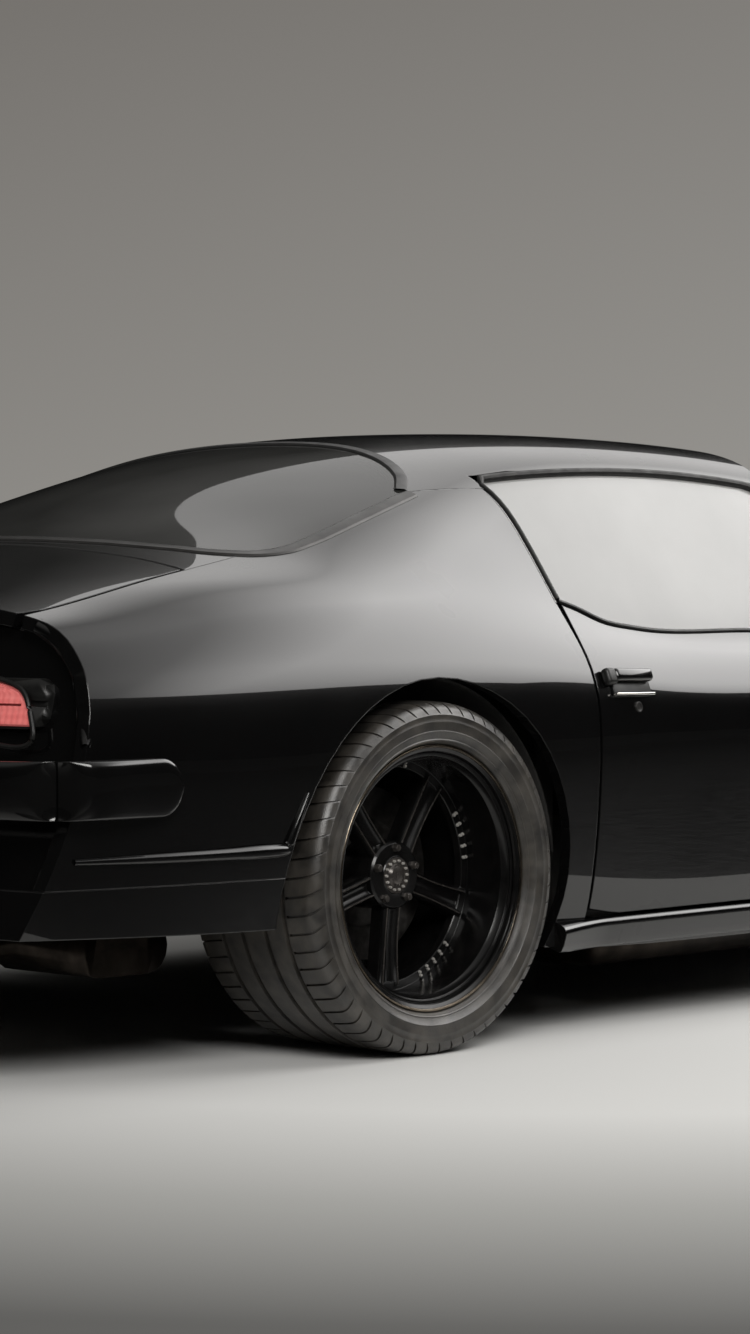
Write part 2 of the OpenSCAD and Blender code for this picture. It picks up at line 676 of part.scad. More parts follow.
// Tail lamp: inner and outer half width, lower and upper height
tail_lamp_in = 250;
tail_lamp_out = 742;
tail_lamp_low_z = 626;
tail_lamp_high_z = 714;
tail_lamp_round = 26;
tail_lamp_bar = 12;
module tail_lamps() color([0.6, 0.03, 0.03]) both_sides() trimmed() difference() {
    intersection() {
        core(roof_net, 0, 2, 4, 1, 8, panel_t + 8);
        before_tail(8);
        translate([tail_x - far / 4, 0, 0]) rotate([90, 0, 90]) linear_extrude(far / 2)
            offset(r = tail_lamp_round, $fn = corner_sides) offset(delta = -tail_lamp_round) polygon([
                [tail_lamp_in * ky, tail_lamp_low_z * kz], [tail_lamp_out * ky, tail_lamp_low_z * kz],
                [tail_lamp_out * ky, tail_lamp_high_z * kz], [tail_lamp_in * ky, tail_lamp_high_z * kz]]);
    }
    before_tail(tail_inset - touch);
    difference() {
        block([-far, 0, (tail_lamp_low_z + tail_lamp_high_z - tail_lamp_bar) / 2 * kz],
            [far, far, (tail_lamp_low_z + tail_lamp_high_z + tail_lamp_bar) / 2 * kz]);
        before_tail(16);
    }
}

/* Glass and the posts round it */
back_glass_gap = 0.6;
module rear_window() color([0.25, 0.27, 0.28]) trimmed() intersection() {
    panel(roof_net, 2, 6, 10, 5.6, 2 * v_mid - 5.6, 12, screen_t);
    back_glass_opening(-back_glass_gap);
}
// Top line of the door under the glass. Columns: distance ahead of the rear axle, height.
belt_line = [[462, 842], [510, 828], [580, 802], [680, 787], [1050, 778], [1500, 778], [1852, 790]];
belt_z = [for (p = belt_line) [rear_x + p[0], p[1] * kz]];
glass_foot_y = 796 * ky;
glass_bulge = 12;
function roof_edge_z(x) = lookup(x - rear_x, roof_edge_line) * kz;
function col_at_z(net, u, z, lo = v_hip, hi = v_mid, n = search_steps) = n == 0 ? (lo + hi) / 2
    : let (m = (lo + hi) / 2) skin(net, u, m)[2] < z ? col_at_z(net, u, z, m, hi, n - 1)
    : col_at_z(net, u, z, lo, m, n - 1);
// Side of the cabin between the belt and the roof edge
function cabin_side(x, t) = let (
    u = row_at(roof_net, x),
    z1 = roof_edge_z(x),
    z0 = 730 * kz,
    y1 = skin(roof_net, u, col_at_z(roof_net, u, z1))[1])
    [x, mix(glass_foot_y, y1, t) + glass_bulge * 4 * t * (1 - t), mix(z0, z1, t)];
module cabin_plate(x0, x1, n, m, t) {
    outer = [for (i = [0:n]) for (j = [0:m]) cabin_side(mix(x0, x1, i / n), j / m * 1.06)];
    plate(outer, [for (p = outer) p - [0, t, 0]], n, m);
}
glass_rear_x = door_rear_x + 6;
// Side view of the door glass, grown for its slot in the door
module glass_outline(grow) {
    top = [for (p = roof_edge_line) if (p[0] > door_rear_setback && p[0] < 1300) [rear_x + p[0],
        p[1] * kz - pillar_gap]];
    foot_z = 745 * kz;
    offset(delta = grow) offset(r = 24, $fn = corner_sides) offset(delta = -24)
        polygon(concat([[glass_rear_x, foot_z], [glass_rear_x, roof_edge_z(glass_rear_x) - pillar_gap]], top,
            [[glass_front_top[0], glass_front_top[1] - pillar_gap], glass_front_foot,
                [glass_front_foot[0], foot_z]]));
}
module door_glass_plate(grow = 0) intersection() {
    translate([0, grow, 0]) cabin_plate(door_rear_x - 60, door_front_x, 9, 4, side_glass_t + 2 * grow);
    translate([0, far, 0]) rotate([90, 0, 0]) linear_extrude(2 * far) glass_outline(grow);
}
module door_glass_left() color([0.5, 0.53, 0.55]) trimmed() door_glass_plate();
module door_glass_right() color([0.5, 0.53, 0.55]) right() trimmed() door_glass_plate();

// Windshield pillar between the door glass and the windshield
pillar_t = 42;
pillar_foot_z = 798;
function pillar_edge(shift) = [[glass_front_foot[0] + shift, glass_front_foot[1]],
    [glass_front_top[0] + shift, glass_front_top[1]]];
function run_on(line, t) = mix(line[0], line[1], t);
module pillar() trimmed() difference() {
    intersection() {
        cabin_plate(glass_front_top[0] - 120, door_front_x + 40, 7, 4, pillar_t);
        let (rear = pillar_edge(pillar_gap), front = pillar_edge(pillar_gap + pillar_w))
            side_prism([run_on(rear, -0.1), run_on(rear, 1.3),
                run_on(front, 1.3), run_on(front, -0.1)], 0, far);
        block([-far, 0, pillar_foot_z * kz], [far, far, far]);
    }
    roof_outline_band();
}
// Everything above the roof edge, less the joint line
module roof_outline_band() {
    line = [for (p = roof_edge_line) [rear_x + p[0], p[1] * kz - joint_line]];
    side_prism(concat([[line[0][0], far]], line, [[line[len(line) - 1][0], far]]), -far, far);
}
module pillars() color(paint) both_sides() pillar();

screen_lean = 32;
function screen_top(a) = let (x = header_x + joint_line - header_bow * a * a, y = a * header_half)
    [x, y, top_z(roof_net, x, y)];
function screen_foot(a) = let (x = screen_foot_x - screen_foot_bow * a * a, y = a * screen_foot_half)
    [x, y, top_z(hood_net, x, y) - cowl_drop - 12];
screen_crown = 16;
module windshield() color([0.35, 0.38, 0.4]) trimmed() {
    n = 12;
    m = 4;
    outer = [for (j = [0:n]) for (i = [0:m]) let (a = 2 * j / n - 1, b = 1 - i / m)
        mix(screen_foot(a), screen_top(a), b) + [0, 0, screen_crown * 4 * b * (1 - b)]];
    difference() {
        plate(outer, [for (p = outer) p - screen_t * [sin(screen_lean), 0, cos(screen_lean)]], n, m);
        translate([joint_line, 0, 0]) roof_outline();
        core(hood_net, 8, 11, 6, 4, 8, cowl_drop - 2 * touch);
        let (edge = pillar_edge(pillar_gap + pillar_w + joint_line))
            side_prism([run_on(edge, -0.6), run_on(edge, 1.5), [-far, far], [-far, 0]], -far, far);
    }
}
firewall_x = screen_foot_x + 70;
firewall_top_z = 690 * kz;
cowl_rear = 44;
cowl_half = 690 * ky;
// Plenum under the windshield foot, with the ears that carry the hood
hood_t = 22;
hood_ear_drop = 70;
hood_lug_h = 30;
hood_axis_y = 610 * ky;
hood_axis_x = hood_rear_x - hood_rear_bow + 48;
hood_axis_z = top_z(hood_net, hood_axis_x, hood_axis_y) - 44;
hood_axis = [hood_axis_x, hood_axis_y, hood_axis_z];
module hood_ear(y) {
    translate([hood_axis_x, y, hood_axis_z]) {
        along_y(ear_r, 0, ear_t, $fn = pin_sides);
        block([-ear_r, 0, -hood_ear_drop], [ear_r, ear_t, 0]);
    }
}
module cowl() color(paint) {
    trimmed() cowl_box();
    hinge_rod(hood_axis);
}
module cowl_box() {
    intersection() {
        core(hood_net, 8, 11, 6, 4, 8, cowl_drop);
        plan_prism(mirrored(concat([for (a = [0:0.125:1]) [screen_foot_x - cowl_rear
            - screen_foot_bow * pow(a * cowl_half / screen_foot_half, 2), a * cowl_half]],
            [[firewall_x + 14, cowl_half], [firewall_x + 14, 0]])));
        block([-far, -far, firewall_top_z + touch], [far, far, far]);
    }
    both_sides() {
        hood_ear(hood_axis_y - arm_t / 2 - ear_gap - ear_t);
        hood_ear(hood_axis_y + arm_t / 2 + ear_gap);
    }
}
module hood_lug() {
    translate([hood_axis_x, hood_axis_y - arm_t / 2, hood_axis_z]) {
        along_y(ear_r, 0, arm_t, $fn = pin_sides);
        block([-arm_w / 2, 0, 0], [arm_w / 2, arm_t, hood_lug_h]);
    }
}
module hood() color(paint) difference() {
    trimmed() {
        intersection() {
            panel(hood_net, 8.6, 14, 11, 5.6, 2 * v_mid - 5.6, 12, hood_t);
            hood_plan(-seam);
            behind_nose(nose_l + seam);
        }
        both_sides() hood_lug();
    }
    hinge_rod(hood_axis, run_fit);
}

/* Doors and their hinges */
hinge_back = 75;
hinge_in = 20;
hinge_x = door_front_x - hinge_back;
hinge_y = 908 * ky - hinge_in;
hinge_z = [430 * kz, 600 * kz];
hinge_pin_r = 4;
hinge_arm_h = 30;
hinge_pocket_h = 46;
hinge_arm_w = 14;
hinge_room = 1;
module door_outline(grow = 0) {
    bottom = [[door_rear_x, door_bottom_z], [door_front_x, door_bottom_z]];
    top = [for (i = [len(belt_z) - 1:-1:0]) [i == len(belt_z) - 1 ? door_front_x : i == 0 ? door_rear_x
        : belt_z[i][0], belt_z[i][1]]];
    offset(delta = grow) polygon(concat(bottom, top));
}
door_draft = 12;
module door_skin(t = door_t) {
    panel(roof_net, 5, 9.6, 9, 0.6, 5.2, 8, t, true);
}
module door_blank() difference() {
    intersection() {
        door_skin();
        translate([0, far, 0]) rotate([90, 0, 0]) linear_extrude(2 * far) door_outline();
    }
    // Rear face leans forward toward the cabin
    plan_prism([[door_rear_x - 1, half_w - 60], [door_rear_x + door_draft, half_w - 60 - door_t],
        [door_rear_x + door_draft, 0], [door_rear_x - 60, 0], [door_rear_x - 60, half_w - 60]]);
    door_glass_plate(touch);
    for (z = hinge_z) block([hinge_x - hinge_arm_w, hinge_y - far, z - hinge_pocket_h / 2],
        [door_front_x + seam, hinge_y + hinge_arm_w / 2 + hinge_room, z + hinge_pocket_h / 2]);
}
hinge_pin_l = 104;
module hinge_pins(slack = 0) {
    for (z = hinge_z) translate([hinge_x, hinge_y, z])
        cylinder(r = hinge_pin_r + slack, h = hinge_pin_l + 4 * slack, center = true, $fn = round_sides);
}
module door() difference() {
    trimmed() door_blank();
    hinge_pins(run_fit);
}
module door_left() color(paint) door();
module door_right() color(paint) right() door();

post_in_y = half_w - 290;
post_out_y = half_w - 192;
post_top_z = hinge_z[1] + 40;
post_x = [hinge_x - 24, hinge_x + 56];
post_lap = 5;
lock_post_l = 50;
lock_gap = 6;
lock_post_in_y = post_in_y + 40;
lock_post_out_y = half_w - 130;
lock_top_z = 770 * kz;
module door_post() {
    block([post_x[0], post_in_y, floor_z + touch], [post_x[1], post_out_y, post_top_z]);
    for (z = hinge_z) translate([0, 0, z - hinge_arm_h / 2]) linear_extrude(hinge_arm_h) union() {
        translate([hinge_x, hinge_y]) circle(r = hinge_arm_w / 2, $fn = round_sides);
        translate([hinge_x - hinge_arm_w / 2, post_out_y - post_lap])
            square([hinge_arm_w, hinge_y - post_out_y + post_lap]);
    }
    hinge_pins();
    lock_x = door_rear_x - seam - lock_gap;
    block([lock_x - lock_post_l, lock_post_in_y, rocker_top_z + touch], [lock_x, lock_post_out_y, lock_top_z]);
}
module door_posts() color([0.1, 0.1, 0.1]) both_sides() door_post();

// Flip handle and mirror on a door
handle_x = door_rear_x + 90;
handle_z = 686 * kz;
handle_l = 150;
handle_h = 26;
mirror_x = door_front_x - 150;
mirror_foot_y = half_w - 105;
mirror_foot_d = 44;
mirror_foot_h = 20;
mirror_in_y = half_w - 60;
mirror_out_y = half_w - 20;
mirror_rise = 62;
mirror_lead = 14;
mirror_d = 78;
mirror_l = 44;
mirror_taper = 4;
mirror_skin_gap = 30;
handle_lean = 28;
handle_depth = 32;
handle_sunk = 20;
trim_sides = 24;
function side_y(x, z) = let (u = row_at(roof_net, x))
    skin(roof_net, u, col_at_z(roof_net, u, z, 1, v_hip))[1];
// Round end of the mirror's head
module mirror_end(y, z, taper) translate([mirror_x + mirror_lead - taper, y, z]) rotate([0, 90, 0])
    cylinder(d = mirror_d, h = mirror_l - taper, $fn = trim_sides);
module door_trim() {
    y = side_y(handle_x, handle_z);
    trimmed() difference() {
        translate([handle_x, y, handle_z]) rotate([-handle_lean, 0, 0]) hull() for (s = [-1, 1])
            translate([s * (handle_l - handle_h) / 2, -handle_sunk, 0]) rotate([-90, 0, 0])
                cylinder(d = handle_h, h = handle_depth, $fn = trim_sides);
        translate([0, touch, 0]) door_skin();
    }
    zb = lookup(mirror_x, belt_z);
    trimmed() difference() {
        hull() {
            translate([mirror_x, mirror_foot_y, zb - mirror_foot_h / 2])
                cylinder(d = mirror_foot_d, h = mirror_foot_h, $fn = trim_sides);
            mirror_end(mirror_in_y, zb + mirror_rise, 0);
            mirror_end(mirror_out_y, zb + mirror_rise, mirror_taper);
        }
        translate([0, touch, touch]) door_skin(door_t + mirror_skin_gap);
        translate([0, side_glass_t, 0]) door_glass_plate(2);
    }
}
module door_trim_left() color([0.08, 0.08, 0.08]) door_trim();
module door_trim_right() color([0.08, 0.08, 0.08]) right() door_trim();

/* Floor, inner panels and running gear */
tunnel_r = 185 * ky;
tub_room = 32.5;
rear_floor_half = (rear_track - rear_tyre_w) / 2 - tub_room;
main_floor_half = rocker_in_y;
seat_pan_half = post_in_y + 38;
axle_z = rear_tyre_d / 2;
hub_z = front_tyre_d / 2;
trunk_floor_z = 392;
over_axle_z = 505;
seat_pan_z = 415;
// Bent floor sheets seen from the side. Columns: x, height of the upper face.
sheet_lap = 15;
seat_pan_rear_x = rear_x + 392;
seat_pan_front_x = rear_x + 640;
rear_floor_run = [[tail_x + 62, trunk_floor_z], [rear_x - 300, trunk_floor_z], [rear_x - 200, over_axle_z],
    [rear_x + 225, over_axle_z], [seat_pan_rear_x, seat_pan_z], [seat_pan_rear_x + sheet_lap, seat_pan_z]];
seat_pan_run = [[seat_pan_rear_x, seat_pan_z], [seat_pan_front_x, seat_pan_z]];
main_floor_run = [[seat_pan_front_x - sheet_lap, seat_pan_z], [seat_pan_front_x, seat_pan_z],
    [seat_pan_front_x + 50, floor_z], [firewall_x - 170, floor_z], [firewall_x, floor_z + 150],
    [firewall_x, firewall_top_z]];
function run_normal(run, i) = let (d = run[i + 1] - run[i]) [d[1], -d[0]] / norm(d);
// Under side of a sheet, with its corners mitred
function sheet_under(run, t) = [for (i = [len(run) - 1:-1:0])
    let (n = run_normal(run, max(i - 1, 0)), m = run_normal(run, min(i, len(run) - 2)))
        run[i] + t * (n + m) / (1 + n * m)];
module sheet_run(run, half, t) {
    rotate([90, 0, 0]) translate([0, 0, -half]) linear_extrude(2 * half)
        polygon(concat(run, sheet_under(run, t)));
}
tunnel_z = floor_z + 5;
bulkhead_x = rear_x + 205;
shelf_z = 846 * kz;
shelf_half = 700 * ky;
module along_x(r, x0, x1) {
    translate([x0, 0, 0]) rotate([0, 90, 0]) cylinder(r = r, h = x1 - x0);
}
module floor_pan() color([0.13, 0.13, 0.14]) {
    difference() {
        union() {
            sheet_run(rear_floor_run, rear_floor_half, floor_t);
            sheet_run(seat_pan_run, seat_pan_half, floor_t);
            sheet_run(main_floor_run, main_floor_half, floor_t);
            intersection() {
                translate([0, 0, tunnel_z]) along_x(tunnel_r, seat_pan_front_x, firewall_x);
                block([-far, -far, floor_z - floor_t], [far, far, far]);
            }
        }
        translate([0, 0, tunnel_z]) along_x(tunnel_r - floor_t, seat_pan_front_x - 80, firewall_x + far);
    }
}
tub_t = 6;
tub_in_y = rear_floor_half + touch;
tub_out_y = half_w - 70;
axle_slot = 70;
axle_slot_h = 110;
tub_r = rear_arch_r + 4;
module tub() translate([rear_x, 0, axle_z + arch_lift]) difference() {
    along_y(tub_r, tub_in_y, tub_out_y);
    along_y(tub_r - tub_t, tub_in_y + tub_t, tub_out_y + 1);
    block([-far, 0, -far], [far, far, ledge_z - axle_z - arch_lift + 5]);
    block([-axle_slot, 0, -far], [axle_slot, tub_in_y + 2 * tub_t, axle_slot_h]);
}
shelf_rear_x = rear_x - 255;
shelf_over = 35;
// Wheelhouses with the bulkhead and the parcel shelf between them
module inner_panels() color([0.08, 0.08, 0.08]) {
    both_sides() tub();
    block([bulkhead_x, -rear_floor_half, over_axle_z + touch],
        [bulkhead_x + floor_t, rear_floor_half, shelf_z]);
    block([shelf_rear_x, -shelf_half, shelf_z - floor_t], [bulkhead_x + shelf_over, shelf_half, shelf_z]);
}

apron_y = 458 * ky;
apron_t = 6;
apron_front_x = front_x + 560;
apron_low_z = 300;
apron_gap = 140;
radiator_x = apron_front_x - 60;
radiator_half = 330;
radiator_top_z = 680 * kz;
radiator_gap = 4;
radiator_foot = 30;
support_t = 30;
support_half = apron_y + 120;
stay_half = 60;
stay_z = apron_low_z + 40;
stay_h = 40;
arm_room = 44;
module aprons() color([0.08, 0.08, 0.08]) {
    both_sides() difference() {
        block([firewall_x + floor_t + touch, apron_y - apron_t, apron_low_z],
            [apron_front_x, apron_y, firewall_top_z]);
        block([front_x - apron_gap, 0, 0], [front_x + apron_gap, far, king_high_z + arm_room]);
    }
    block([apron_front_x + touch, -support_half, apron_low_z],
        [apron_front_x + support_t, support_half, firewall_top_z]);
    radiator_front_x = apron_front_x - radiator_gap;
    block([radiator_x, -radiator_half, apron_low_z + radiator_foot],
        [radiator_front_x, radiator_half, radiator_top_z]);
    block([radiator_front_x - touch, -stay_half, stay_z],
        [apron_front_x + touch + 1, stay_half, stay_z + stay_h]);
}
// Engine with its gearbox
engine_x = front_x - 640;
engine_l = 560;
engine_low_z = 250 * kz;
block_h = 260 * kz;
bank_h = 330 * kz;
intake_h = 430 * kz;
cleaner_h = 62;
bank_lean = 45;
bank_in = 20;
bank_half = 110;
bank_low = 120;
bank_foot_z = engine_low_z + 90;
engine_half = 150;
sump_half = 110;
sump_h = 90;
sump_x = [engine_x + 60, engine_x + engine_l - 40];
throat_r = 90;
throat_lap = 10;
cleaner_r = 178;
gear_case_l = 260;
gear_tail_r = 70;
gear_tail_x = engine_x - 620;
pulley_r = 95;
pulley_l = 60;
pulley_z = engine_low_z + 120;
foot_x = engine_x + 230;
foot_l = 70;
foot_y = 140;
foot_z = engine_low_z + 30;
foot_h = 30;
module bank() translate([engine_x + bank_in, 0, bank_foot_z]) rotate([-bank_lean, 0, 0])
    block([0, -bank_half, bank_low], [engine_l - 2 * bank_in, bank_half, bank_h]);
gearbox_r = tunnel_r - 85;
gearbox_z = tunnel_z + tunnel_r - 118;
module engine() color([0.2, 0.2, 0.21]) {
    block([engine_x, -engine_half, engine_low_z], [engine_x + engine_l, engine_half, engine_low_z + block_h]);
    block([sump_x[0], -sump_half, engine_low_z - sump_h], [sump_x[1], sump_half, engine_low_z]);
    both_sides() bank();
    translate([engine_x + engine_l / 2, 0, engine_low_z]) {
        translate([0, 0, block_h - throat_lap]) cylinder(r = throat_r, h = intake_h - block_h + throat_lap);
        translate([0, 0, intake_h]) cylinder(r = cleaner_r, h = cleaner_h);
    }
    translate([0, 0, gearbox_z]) {
        along_x(gearbox_r, engine_x - gear_case_l, engine_x + 1);
        along_x(gear_tail_r, gear_tail_x, engine_x - gear_case_l + 1);
    }
    translate([0, 0, pulley_z]) along_x(pulley_r, engine_x + engine_l - 1, engine_x + engine_l + pulley_l);
    both_sides() block([foot_x, foot_y, foot_z],
        [foot_x + foot_l, rail_y - rail_w / 2 - touch, foot_z + foot_h]);
}
shaft_r = 38;
diff_r = 128;
pinion_r = 52;
pinion_x = diff_r + 92;
shaft_end = 8;
shaft_neck = 0.6;
module drive_shaft() color([0.25, 0.25, 0.26]) {
    rise = gearbox_z - axle_z;
    end_gap = touch + shaft_r * shaft_neck * abs(rise) / (gear_tail_x - rear_x);
    front_end = gear_tail_x - end_gap;
    rear_end = rear_x + pinion_x + end_gap;
    run = front_end - rear_end;
    translate([rear_end, 0, axle_z]) rotate([0, -atan2(rise, run), 0]) {
        along_x(shaft_r, shaft_end, run - shaft_end);
        along_x(shaft_r * shaft_neck, 0, run);
    }
}
rail_y = 395 * ky;
rail_w = 72;
rail_h = 90;
rail_top_z = apron_low_z - touch;
rail_low_z = 108;
rail_rear_x = firewall_x - 300;
king_y = 700 * ky;
king_low_z = 222;
king_high_z = 436;
arm_h = 18;
ball_r = 10;
ball_h = 24;
ball_lap = 2;
eye_r = 26;
leg_w = 46;
eye_web = 90;
arm_lap = 6;
low_arm_spread = 150;
high_arm_spread = 110;
tower_half_l = 90;
tower_lap = 4;
coil_r = 46;
coil_y = 520 * ky;
cross_half_l = 70;
cross_drop = 40;
front_cross_x = [apron_front_x - 10, apron_front_x + 50];
front_cross_drop = [70, 10];
module control_arm(z, spread, root_y) {
    translate([front_x, 0, z]) linear_extrude(arm_h) union() {
        translate([0, king_y]) circle(r = eye_r);
        polygon([[-eye_r, king_y], [eye_r, king_y], [spread, root_y], [spread - leg_w, root_y],
            [0, king_y - eye_web], [leg_w - spread, root_y], [-spread, root_y]]);
    }
}
// Side view of a rail: under the floor, up along the toe board and forward past the front wheels
rail_bend_x = firewall_x - 150;
rail_rise_x = [firewall_x - 10, firewall_x + 60];
rail_front_x = apron_front_x + 100;
rail_line = [[rail_rear_x, rail_low_z], [rail_rear_x, floor_z - floor_t - touch],
    [rail_bend_x, floor_z - floor_t - touch], [rail_rise_x[0], rail_top_z], [rail_front_x, rail_top_z],
    [rail_front_x, rail_top_z - rail_h], [rail_rise_x[1], rail_top_z - rail_h], [rail_bend_x, rail_low_z]];
module front_subframe() color([0.07, 0.07, 0.07]) {
    both_sides() {
        difference() {
            across_y(rail_y - rail_w / 2, rail_y + rail_w / 2) polygon(rail_line);
            translate([tie_x, rail_y, 0]) cylinder(r = tie_r, h = 2 * rail_top_z);
        }
        block([front_x - tower_half_l, rail_y, rail_top_z - tower_lap],
            [front_x + tower_half_l, rail_y + rail_w / 2, king_high_z + arm_h]);
        control_arm(king_low_z - arm_h, low_arm_spread, rail_y + rail_w / 2 - arm_lap);
        control_arm(king_high_z, high_arm_spread, rail_y + rail_w / 2 - arm_lap);
        translate([front_x, king_y, king_low_z - ball_lap]) cylinder(r = ball_r, h = ball_h);
        translate([front_x, king_y, king_high_z + ball_lap - ball_h]) cylinder(r = ball_r, h = ball_h);
        translate([front_x, coil_y, king_low_z - ball_lap])
            cylinder(r = coil_r, h = king_high_z - king_low_z + 2 * ball_lap);
    }
    block([front_x - cross_half_l, -rail_y, rail_top_z - rail_h - cross_drop],
        [front_x + cross_half_l, rail_y, rail_top_z - cross_drop]);
    block([front_cross_x[0], -rail_y, rail_top_z - front_cross_drop[0]],
        [front_cross_x[1], rail_y, rail_top_z - front_cross_drop[1]]);
}
tie_x = front_x + 460;
tie_r = 12.5;
hub_face_front = front_track / 2 + front_rim_w / 2 - front_dish;
hub_face_rear = rear_track / 2 + rear_rim_w / 2 - rear_dish;
hub_l = 104;
disc_t = 28;
caliper_gap = 4;
caliper_w = 56;
caliper_in = 16;
caliper_turn = 200;
caliper_half_l = 75;
caliper_low = disc_d / 2 - 55;
caliper_high = disc_d / 2 + 20;
disc_room = 5;
post_half_l = 30;
disc_gap = 14;
stub_in = 8;
hub_wall = 12;
stay_low = 20;
stay_high = 60;
stay_reach = disc_d / 2 - 10;
socket_h = 36;
// Caliper over the rear edge of a disc whose inner face lies at y = 0
module caliper() difference() {
    intersection() {
        along_y(caliper_high, -caliper_in, caliper_w - caliper_in);
        rotate([0, caliper_turn, 0]) block([caliper_low, -caliper_in, -caliper_half_l],
            [caliper_high + disc_room, caliper_w - caliper_in, caliper_half_l]);
    }
    along_y(disc_d / 2 + disc_room, -caliper_gap, disc_t + caliper_gap);
}
// Plate between the hub and the caliper
module caliper_stay(disc_y) {
    block([-stay_reach, disc_y - 2 * caliper_in, -stay_low], [0, disc_y - disc_gap, stay_high]);
}
module knuckle() {
    disc_y = hub_face_front - hub_l;
    translate([front_x, 0, 0]) {
        difference() {
            union() {
                block([-post_half_l, king_y - eye_r, king_low_z + touch],
                    [post_half_l, disc_y - disc_gap, king_high_z - touch]);
                translate([0, 0, hub_z]) {
                    along_y(stub_d / 2 + hub_wall, king_y - stay_low, disc_y - touch);
                    along_y(stub_d / 2, king_y, hub_face_front - stub_in);
                    translate([0, disc_y, 0]) caliper();
                    caliper_stay(disc_y);
                }
            }
            translate([0, king_y, king_low_z - ball_r]) cylinder(r = ball_r + run_fit, h = socket_h);
            translate([0, king_y, king_high_z + ball_r - socket_h])
                cylinder(r = ball_r + run_fit, h = socket_h);
        }
    }
}
module knuckle_left() color([0.2, 0.2, 0.2]) knuckle();
module knuckle_right() color([0.2, 0.2, 0.2]) right() knuckle();

spring_y = 470 * ky;
spring_w = 64;
spring_r = 4200;
spring_front = 620;
spring_rear = 640;
spring_t = 28;
spring_steps = 14;
spring_drop = 46;
spring_end = 40;
saddle_half_l = 60;
saddle_half_w = spring_w / 2 + 6;
hanger_half = [26, 14];
tube_r = 40;
diff_half = diff_r - 12;
diff_rim_half = 44;
diff_end_r = 70;
function spring_z(x) = axle_z - spring_drop + spring_r - sqrt(spring_r * spring_r - pow(x - rear_x, 2));
module leaf_spring() {
    xs = [for (i = [0:spring_steps]) rear_x - spring_rear + (spring_front + spring_rear) * i / spring_steps];
    across_y(spring_y - spring_w / 2, spring_y + spring_w / 2)
        polygon(concat([for (x = xs) [x, spring_z(x)]],
            [for (i = [spring_steps:-1:0]) [xs[i], spring_z(xs[i]) - spring_t]]));
}
module rear_axle() color([0.09, 0.09, 0.09]) {
    disc_y = hub_face_rear - hub_l;
    translate([rear_x, 0, axle_z]) {
        rotate([-90, 0, 0]) rotate_extrude() polygon([[0, -diff_half], [diff_end_r, -diff_half],
            [diff_r, -diff_rim_half], [diff_r, diff_rim_half], [diff_end_r, diff_half], [0, diff_half]]);
        along_x(pinion_r, diff_r / 2, pinion_x);
        both_sides() {
            along_y(tube_r, diff_r - tube_r, disc_y - caliper_in);
            along_y(stub_d / 2, disc_y - stay_high, hub_face_rear - stub_in);
            translate([0, disc_y, 0]) caliper();
            caliper_stay(disc_y);
            block([-saddle_half_l, spring_y - saddle_half_w, -spring_drop - 1],
                [saddle_half_l, spring_y + saddle_half_w, 0]);
        }
    }
    both_sides() {
        leaf_spring();
        hanger(rear_x + spring_front - spring_end, seat_pan_z);
        hanger(rear_x - spring_rear + spring_end, trunk_floor_z);
    }
}
// Bracket from a spring end up to the floor
module hanger(x, top_z) {
    low = spring_z(x) - spring_t / 2;
    block([x - hanger_half[0], spring_y - hanger_half[1], low],
        [x + hanger_half[0], spring_y + hanger_half[1], top_z - floor_t - touch]);
}
pipe_r = 30;
muffler_l = 520;
pipe_z = 134;
muffler_w = 210;
muffler_h = 90;
muffler_y = 560 * ky;
muffler_x = rear_x + 760;
muffler_cone = 16;
rear_muffler_x = [rear_x - 540, rear_x - 420];
rear_muffler_y = [335 * ky, 575 * ky];
rear_muffler_z = 210;
rear_muffler_r = 50;
strap_x = muffler_x + 60;
strap_l = 30;
strap_half = 14;
// Exhaust run on one side. Columns: x, half width, height.
pipe_run = [[engine_x + 60, 250 * ky, 330], [engine_x - 160, 270 * ky, pipe_z + 10],
    [engine_x - 420, 290 * ky, pipe_z],
    [muffler_x + muffler_l + 120, muffler_y, pipe_z], [muffler_x + muffler_l, muffler_y, pipe_z],
    [muffler_x + 60, muffler_y - 70, pipe_z], [muffler_x - 40, muffler_y - 100, pipe_z],
    [muffler_x - 140, 380 * ky, pipe_z], [rear_x + 420, 360 * ky, pipe_z + 30], [rear_x + 200, 365 * ky, 290],
    [rear_x, 372 * ky, 490],
    [rear_x - 190, 372 * ky, 330], [rear_x - 420, 372 * ky, 220], [tail_x + 60, 372 * ky, 205]];
pipe_sides = 8;
pipe_rings = 20;
pipe_net = concat([2 * pipe_run[0] - pipe_run[1]], pipe_run,
    [2 * pipe_run[len(pipe_run) - 1] - pipe_run[len(pipe_run) - 2]]);
function pipe_at(t) = let (i = max(0, min(floor(t), len(pipe_net) - 4)))
    blend(t - i) * [for (k = [0:3]) pipe_net[i + k]];
function pipe_ring(t) = let (
    d = unit(pipe_at(t + small) - pipe_at(t - small)),
    side = unit(cross([0, 0, 1], d)),
    up = cross(d, side))
    [for (k = [0:pipe_sides - 1]) pipe_at(t)
        + pipe_r * (cos(360 * k / pipe_sides) * side + sin(360 * k / pipe_sides) * up)];
module pipe() {
    last = len(pipe_run) - 1;
    n = pipe_sides;
    walls = flat([for (i = [0:pipe_rings - 1]) for (k = [0:n - 1])
        let (a = i * n, b = a + n, c = (k + 1) % n)
        tri_pair([b + k, b + c, a + c, a + k])]);
    caps = [[for (k = [0:n - 1]) k], [for (k = [0:n - 1]) pipe_rings * n + n - 1 - k]];
    polyhedron(points = flat([for (i = [0:pipe_rings]) pipe_ring(last * i / pipe_rings)]),
        faces = concat(walls, caps));
}
